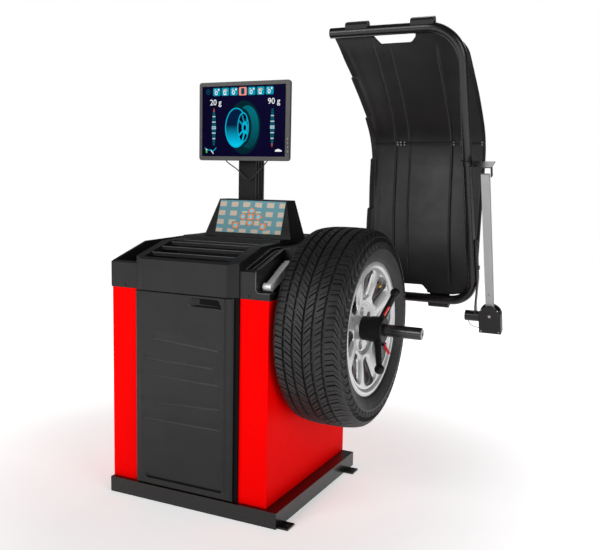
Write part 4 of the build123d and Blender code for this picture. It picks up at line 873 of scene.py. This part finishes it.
def highlight_lines(name, runs, size=1.5):
    """Thin rounded light-grey lines that paint highlights along edges, each run a list of points in
    millimetres.
    """
    parts = []
    for run in runs:
        for a, b in zip(run, run[1:]):
            start, end = Vector(a), Vector(b)
            along = (end - start).normalized()
            side = along.cross(Vector((0.3, 0.9, 0.3))).normalized() * size / 2
            up = side.cross(along).normalized() * size / 2
            ring = [side, (side + up) * 0.7, up, (up - side) * 0.7]
            ring += [-r for r in ring]
            points = [start + r for r in ring] + [end + r for r in ring]
            faces = [tuple(range(8)), tuple(reversed(range(8, 16)))]
            faces += [(i, (i + 1) % 8, 8 + (i + 1) % 8, 8 + i) for i in range(8)]
            parts.append((points, faces))
    return built(name, parts, "cabinet", "black_moulding", HIGHLIGHT_GREY)


# painted highlights along the tops of the bars, the trough's ridges, its walls and the pocket's rim
BARS = [(-262, 830), (-208, 845), (-154, 857), (-100, 860)]
highlight_lines("bar_edge_highlights", [[(-181, y - 3.6, z - 0.4), (136, y - 3.6, z - 0.4)] for y, z in BARS], 2.0)
RIDGE_RUN = ((-284, 792.4), (-120, 843.2), (-62, 846))
highlight_lines("trough_edge_highlights", [[(x, y, z) for y, z in RIDGE_RUN] for x in (200.5, 213.5)], 1.8)
WALL_RUN = ((-286, 799.2), (-120, 850.6), (-64, 852.8))
wall_lines = [[(x, y, z) for y, z in WALL_RUN] for x in (186.6, 229.6)]
POCKET_RUN = ((230.6, 796), (230.6, 742), (234, 733.5), (241, 730.2), (280, 730.2))
highlight_lines("wall_edge_highlights", wall_lines + [[(x, -302.2, z) for x, z in POCKET_RUN]], 1.8)

# ---- keypad print
PRINT_TAN = surface("print_tan", (0.66, 0.54, 0.42), 0.4, 0.06, grain=(1500, 0.1), specular=0.3)
PRINT_CYAN = surface("print_cyan", (0.03, 0.62, 0.88), 0.4, 0.06, grain=(1500, 0.1))
PRINT_WHITE = surface("print_white", (0.85, 0.88, 0.9), 0.4, 0.04, grain=(1500, 0.1))
KEYS = {
    "key_up": (3, 22), "key_left": (-28, 0), "key_enter": (3, 0), "key_right": (34, 0), "key_down": (3, -22),
    "key_stop": (-52, -33), "key_start": (57, -33),
}
BLOCK_COLUMNS, BLOCK_ROWS, PAD_FOOT, PAD_EDGE = 6, 4, -58, 130
BLOCK_LEFT, BLOCK_RIGHT, COLUMN_STEP = -131.5, -103.5, 47.9
BLOCK_LOW, BLOCK_HIGH, ROW_STEP = 35, 53, 32.7
PRINT_FOOT, PRINT_TOP = -0.2, 0.25
KEY_ROOM_X, KEY_ROOM_Y, CELL = 15.8, 13.6, 2.0


def clear_of_keys(left, right, low, high):
    """Whether a printed patch stays off every key."""
    for x, y in KEYS.values():
        beside = left < x + KEY_ROOM_X and right > x - KEY_ROOM_X
        if beside and low < y + KEY_ROOM_Y and high > y - KEY_ROOM_Y:
            return False
    return True


def print_patches(left, right, low, high):
    """A printed block, or the cells of it that lie clear of the keys."""
    if clear_of_keys(left, right, low, high):
        outline = rounded(right - left, high - low, 1.5, 2, ((left + right) / 2, (low + high) / 2))
        return [prism(outline, pad, PRINT_FOOT, PRINT_TOP)]
    cells = []
    for x in np.arange(left, right - 0.1, CELL):
        for y in np.arange(low, high - 0.1, CELL):
            x1, y1 = min(x + CELL, right), min(y + CELL, high)
            if clear_of_keys(x, x1, y, y1):
                cells.append(prism([(x, y), (x1, y), (x1, y1), (x, y1)], pad, PRINT_FOOT, PRINT_TOP))
    return cells


blocks = []
for row in range(BLOCK_ROWS):
    for column in range(BLOCK_COLUMNS):
        left = max(-PAD_EDGE, BLOCK_LEFT + column * COLUMN_STEP)
        right = min(PAD_EDGE, BLOCK_RIGHT + column * COLUMN_STEP)
        low, high = max(PAD_FOOT, BLOCK_LOW - row * ROW_STEP), BLOCK_HIGH - row * ROW_STEP
        blocks += print_patches(left, right, low, high)
built("keypad_print", blocks, "cabinet", "keypad_film", PRINT_TAN)

for key, spot in KEYS.items():
    soften(key, 0.7)
    centre = prism(disc(6.8, 24, spot), pad, 1.0, 1.55)
    mark = prism(rounded(4.6, 2.4, 1.0, 3, spot), pad, 1.2, 1.75)
    built(key + "_centre", [centre], BODY_OF[key], "key_orange", PRINT_CYAN)
    built(key + "_mark", [mark], BODY_OF[key], "key_orange", PRINT_WHITE)

# ---- display picture
SCREEN_F = 40.2
SCREEN_X0, SCREEN_X1, SCREEN_Z0, SCREEN_Z1 = -186, 148, 1152, 1395
SCREEN_W, SCREEN_H = SCREEN_X1 - SCREEN_X0, SCREEN_Z1 - SCREEN_Z0
GLOW_BLUE = glow("glow_blue", (0.0, 0.3, 0.44))
GLOW_CYAN = glow("glow_cyan", (0.0, 0.43, 0.64), vary=0.15, scale=25)
GLOW_DARK = glow("glow_dark", (0.002, 0.001, 0.02), vary=0.6, scale=8)
GLOW_TEAL = glow("glow_teal", (0.0, 0.09, 0.13))
GLOW_DEEP = glow("glow_deep", (0.0, 0.018, 0.026))
GLOW_PALE = glow("glow_pale", (0.38, 0.55, 0.62))
GLOW_WHITE = glow("glow_white", (0.85, 0.9, 0.95))
GLOW_RED = glow("glow_red", (0.9, 0.3, 0.24))
GLOW_TIP = glow("glow_tip", (0.42, 0.06, 0.05))
GLOW_GREEN = glow("glow_green", (0.03, 0.6, 0.06))
GLOW_ORANGE = glow("glow_orange", (0.9, 0.5, 0.28))


def fading(name, low, high, z_low, z_high):
    """A lit colour that changes with height across the picture, z in millimetres from the picture's foot."""
    mat = glow(name, high)
    tree = mat.node_tree
    shader = tree.nodes["Principled BSDF"]
    split = add(tree, "SeparateXYZ", add(tree, "TexCoord").outputs["Object"])
    share = add(tree, "MapRange", From_Min=(SCREEN_Z0 + z_low) * MM, From_Max=(SCREEN_Z0 + z_high) * MM)
    mix = add(tree, "Mix")
    mix.data_type = "RGBA"
    mix.inputs["A"].default_value = (*low, 1)
    mix.inputs["B"].default_value = (*high, 1)
    tree.links.new(split.outputs["Z"], share.inputs["Value"])
    tree.links.new(share.outputs["Result"], mix.inputs["Factor"])
    tree.links.new(mix.outputs["Result"], shader.inputs["Emission Color"])
    return mat


def on_screen(a, b, out):
    """A point of the picture, a and b in millimetres from its left and its foot, out millimetres proud."""
    return (SCREEN_X0 + a, SCREEN_F - out, SCREEN_Z0 + b)


def lit(name, outlines, mat, out, thick=0.06):
    """A thin lit shape on the display."""
    parts = [prism(outline, on_screen, out, out + thick) for outline in outlines]
    return built(name, parts, "cabinet", "screen_glass", mat)


def ellipse(cx, cy, rx, ry, steps=48, start=0, end=360):
    """Points of an ellipse, or of a part of one between two angles in degrees."""
    count = steps if end - start >= 360 else steps + 1
    angles = [radians(start + (end - start) * i / steps) for i in range(count)]
    return [(cx + rx * cos(a), cy + ry * sin(a)) for a in angles]


def band(outer, inner, closed=True):
    """The ring between two outlines of the same count, as quads."""
    count = len(outer) if closed else len(outer) - 1
    wrap = len(outer)
    return [[outer[i], outer[(i + 1) % wrap], inner[(i + 1) % wrap], inner[i]] for i in range(count)]


def stroke(a, b, width):
    """A straight line as a thin quad."""
    run = Vector((b[0] - a[0], b[1] - a[1])).normalized() * (width / 2)
    ends = ((a, -1), (b, -1), (b, 1), (a, 1))
    return [(spot[0] - turn_to * run.y, spot[1] + turn_to * run.x) for spot, turn_to in ends]


def box_outline(cx, cy, width, height):
    """The outline of a plain rectangle."""
    corners = ((-1, -1), (1, -1), (1, 1), (-1, 1))
    return [(cx + sx * width / 2, cy + sy * height / 2) for sx, sy in corners]


lit("screen_ground", [rounded(SCREEN_W, SCREEN_H, 1, 2, (SCREEN_W / 2, SCREEN_H / 2))], GLOW_DARK, 0.1)
ICON_X, ICON_STEP, ICON_Y, ICONS, CHOSEN = 58, 35.3, 223.8, 7, 3
icon_spots = [(ICON_X + ICON_STEP * i, ICON_Y) for i in range(ICONS)]
plain_icons = [rounded(30, 27, 4, 4, spot) for i, spot in enumerate(icon_spots) if i != CHOSEN]
lit("screen_icons", plain_icons, GLOW_BLUE, 0.3)
lit("screen_icon_lit", [rounded(31, 28, 4, 4, icon_spots[CHOSEN])], GLOW_RED, 0.3)
rings, warm, pale = [], [], []
for i, (cx, cy) in enumerate(icon_spots):
    if i == CHOSEN:
        continue
    rings += band(ellipse(cx - 2, cy - 3, 6, 7.5, 20), ellipse(cx - 2, cy - 3, 3.2, 4.2, 20))
    if i % 2:
        arcs = ellipse(cx, cy, 9.5, 9, 12, 20, 160), ellipse(cx, cy, 6.6, 6.4, 12, 20, 160)
        warm += band(*arcs, closed=False)
        pale.append(stroke((cx - 7, cy - 10), (cx + 6, cy - 10), 2))
    else:
        pale.append(disc(3.4, 12, (cx + 8, cy + 7)))
        pale.append(stroke((cx - 9, cy + 6), (cx - 3, cy + 9), 2))
lit("icon_rings", rings, GLOW_WHITE, 0.5)
lit("icon_arcs", warm, GLOW_ORANGE, 0.62)
lit("icon_marks", pale, GLOW_WHITE, 0.74)
chosen = icon_spots[CHOSEN]
lit("icon_tyre", [rounded(14, 21, 3, 3, chosen)], GLOW_TEAL, 0.5)
bars = [box_outline(chosen[0], chosen[1] - 7.5 + 5 * i, 9, 2) for i in range(4)]
lit("icon_tread", bars, GLOW_DARK, 0.62)
lit("screen_clock", band(ellipse(23, 225, 9, 9, 24), ellipse(23, 225, 7.4, 7.4, 24)), GLOW_TEAL, 0.3)
lit("clock_hands", [stroke((19, 221), (27, 230), 2), stroke((20, 228), (24, 224), 2)], GLOW_TEAL, 0.3)

BAR_FOOT, SEGMENT, SEGMENTS = 38, 9.6, 13
for side, cx, tip_up in (("left", 47, True), ("right", 282, False)):
    bars, pales = [], []
    for k in range(SEGMENTS):
        mid = BAR_FOOT + (k + 0.5) * SEGMENT
        width = 5 + 12 * (1 - abs(k - 6) / 6.5) ** 0.6
        if k == 6:
            pales += [box_outline(cx + dx, mid + dy, 8, 5) for dy in (2.6, -3.4) for dx in (-4.4, 4.4)]
        elif k in (2, 4, 8, 10):
            pales.append(box_outline(cx, mid, width, 5))
        else:
            bars.append(box_outline(cx, mid, width, SEGMENT - 1))
    tip = BAR_FOOT + (SEGMENTS - 0.3) * SEGMENT if tip_up else BAR_FOOT + 0.3 * SEGMENT
    far = 8 if tip_up else -8
    lit(f"screen_bar_{side}", bars, GLOW_TEAL, 0.3)
    lit(f"screen_bar_pale_{side}", pales, GLOW_PALE, 0.42)
    base, point = tip - far * 0.6, tip + far
    spike = [(cx - 3, base), (cx + 3, base), (cx + 1.4, point), (cx - 1.4, point)]
    lit(f"screen_tip_{side}", [spike], GLOW_TIP, 0.54)

LIP, DISC_AT, TYRE_AT, HALO = (139, 99), (167, 100), (184, 101), (170, 100)
lit("wheel_halo", [ellipse(*HALO, 66, 92, 60)], GLOW_DEEP, 0.3)
shade = fading("shade_tyre", (0.0, 0.028, 0.036), (0.0, 0.15, 0.19), 30, 150)
lit("wheel_side", [ellipse(*TYRE_AT, 46, 74, 60)], shade, 0.4)
rims = []
for dx, size in ((0, 1.0), (-9, 0.94), (-17, 0.9)):
    cx, cy, rx, ry = TYRE_AT[0] + dx, TYRE_AT[1], 45 * size, 73 * size
    inner = ellipse(cx, cy, rx - 1.6, ry - 1.6, 40, -88, 88)
    rims += band(ellipse(cx, cy, rx, ry, 40, -88, 88), inner, closed=False)
lit("wheel_grooves", rims, GLOW_TEAL, 0.5)
lit("wheel_dark_side", [ellipse(161, 100, 40, 66, 60)], GLOW_DEEP, 0.6)
barrel = fading("shade_barrel", (0.0, 0.62, 0.92), (0.0, 0.012, 0.05), 32, 108)
lit("wheel_barrel", [ellipse(*LIP, 43, 67, 60)], barrel, 0.7)
lit("wheel_lip", band(ellipse(*LIP, 45, 69, 60), ellipse(*LIP, 41, 65, 60)), GLOW_CYAN, 0.8)
lit("wheel_inside", [ellipse(*DISC_AT, 21, 50, 40)], GLOW_DARK, 0.9)
lit("wheel_ring", band(ellipse(*DISC_AT, 23, 52, 40), ellipse(*DISC_AT, 19.5, 47.5, 40)), GLOW_CYAN, 1.0)
hub = (DISC_AT[0] + 7, DISC_AT[1] - 1)
spokes = []
for angle in (105, 150, 215, 262, 330, 40):
    a = radians(angle)
    far_end = (DISC_AT[0] + 20 * cos(a), DISC_AT[1] + 48 * sin(a))
    spokes.append(stroke((hub[0] + 6 * cos(a), hub[1] + 14 * sin(a)), far_end, 6))
lit("wheel_spokes", spokes, fading("shade_spoke", (0.0, 0.48, 0.7), (0.0, 0.16, 0.24), 70, 150), 1.0)
lit("wheel_hub", [ellipse(*hub, 12, 22, 32)], GLOW_CYAN, 1.1)
lit("wheel_hub_hole", [ellipse(*hub, 5.5, 10, 24)], GLOW_DARK, 1.2)
car = [(294, 17), (320, 17), (321, 20), (315, 23), (308, 26), (300, 25), (294, 21)]
lit("screen_car", [car], GLOW_WHITE, 0.3)
arm = [stroke((10, 30), (17, 22), 3), stroke((17, 22), (34, 22), 3), stroke((34, 22), (42, 17), 3)]
arm += [stroke((42, 17), (50, 22), 3), stroke((50, 22), (57, 30), 3)]
lit("screen_arm", arm, GLOW_CYAN, 0.3)
lit("screen_arm_marks", [disc(3, 12, (17, 23)), stroke((36, 20), (46, 9), 3)], GLOW_WHITE, 0.42)
lit("screen_dot", [disc(3.6, 16, (17, 15))], GLOW_GREEN, 0.54)


def digits(name, text, a, b, size):
    """Numbers on the display."""
    curve = bpy.data.curves.new(name, "FONT")
    curve.body = text
    curve.size = size * MM
    curve.extrude = 0.0001
    curve.offset = 0.0001
    curve.align_x = "CENTER"
    curve.align_y = "CENTER"
    holder = bpy.data.objects.new(name, curve)
    place = Matrix.Translation([c * MM for c in on_screen(a, b, 0.4)]) @ Matrix.Rotation(pi / 2, 4, "X")
    mesh = bpy.data.meshes.new_from_object(holder)
    mesh.transform(place)
    bpy.data.objects.remove(holder)
    mesh.materials.clear()
    return link(name, mesh, "cabinet", "screen_glass", mat=GLOW_WHITE)


digits("screen_number_left", "20 g", 54, 187, 28)
digits("screen_number_right", "90 g", 287, 187, 28)

# ---- floor and light
FLOOR_HALF = 6000
FLOOR_GLOW_NEAR, FLOOR_GLOW_FAR = 0.42, 1.0
GLOW_STARTS, GLOW_FULL = 0.6, 2.0
BACKDROP, ROOM_LIGHT = 1.0, 0.12
corners = [(sx * FLOOR_HALF, sy * FLOOR_HALF, 0) for sx, sy in ((-1, -1), (1, -1), (1, 1), (-1, 1))]
floor_mesh = made("floor", corners, [(0, 1, 2, 3)])
floor = bpy.data.objects.new("floor", floor_mesh)
show(floor)
pale = surface("floor", 0.93, 0.7, 0.01, vary_scale=1.5, specular=0.1)
floor_mesh.materials.append(pale)
tree = pale.node_tree
paint = tree.nodes["Principled BSDF"]
paint.inputs["Emission Color"].default_value = (1, 1, 1, 1)
reach = add(tree, "VectorMath", add(tree, "TexCoord").outputs["Object"])
reach.operation = "LENGTH"
brighter = add(
    tree, "MapRange", From_Min=GLOW_STARTS, From_Max=GLOW_FULL, To_Min=FLOOR_GLOW_NEAR, To_Max=FLOOR_GLOW_FAR
)
brighter.interpolation_type = "SMOOTHSTEP"
tree.links.new(reach.outputs["Value"], brighter.inputs["Value"])
tree.links.new(brighter.outputs["Result"], paint.inputs["Emission Strength"])
floor.location.z = -0.0005

world = bpy.data.worlds.new("studio")
scene.world = world
world.use_nodes = True
tree = world.node_tree
sky = tree.nodes["Background"]
sky.inputs["Color"].default_value = (1, 1, 1, 1)
power = add(tree, "MapRange", To_Min=ROOM_LIGHT, To_Max=BACKDROP)
tree.links.new(add(tree, "LightPath").outputs["Is Camera Ray"], power.inputs["Value"])
tree.links.new(power.outputs["Result"], sky.inputs["Strength"])


def lamp(name, place, target, size, power):
    """A soft square light pointed at target."""
    data = bpy.data.lights.new(name, "AREA")
    data.size = size
    data.energy = power
    light = bpy.data.objects.new(name, data)
    show(light)
    light.location = place
    light.rotation_mode = "QUATERNION"
    light.rotation_quaternion = (Vector(target) - Vector(place)).to_track_quat("-Z", "Y")
    return light


lamp("key_light", (-1.6, -4.2, 2.6), (0.1, 0, 0.7), 2.6, 104)
lamp("fill_light", (4.2, -2.0, 1.8), (0.2, 0, 0.7), 2.4, 56)
lamp("rim_light", (0.6, 2.8, 3.4), (0.2, 0, 0.9), 2.4, 40)
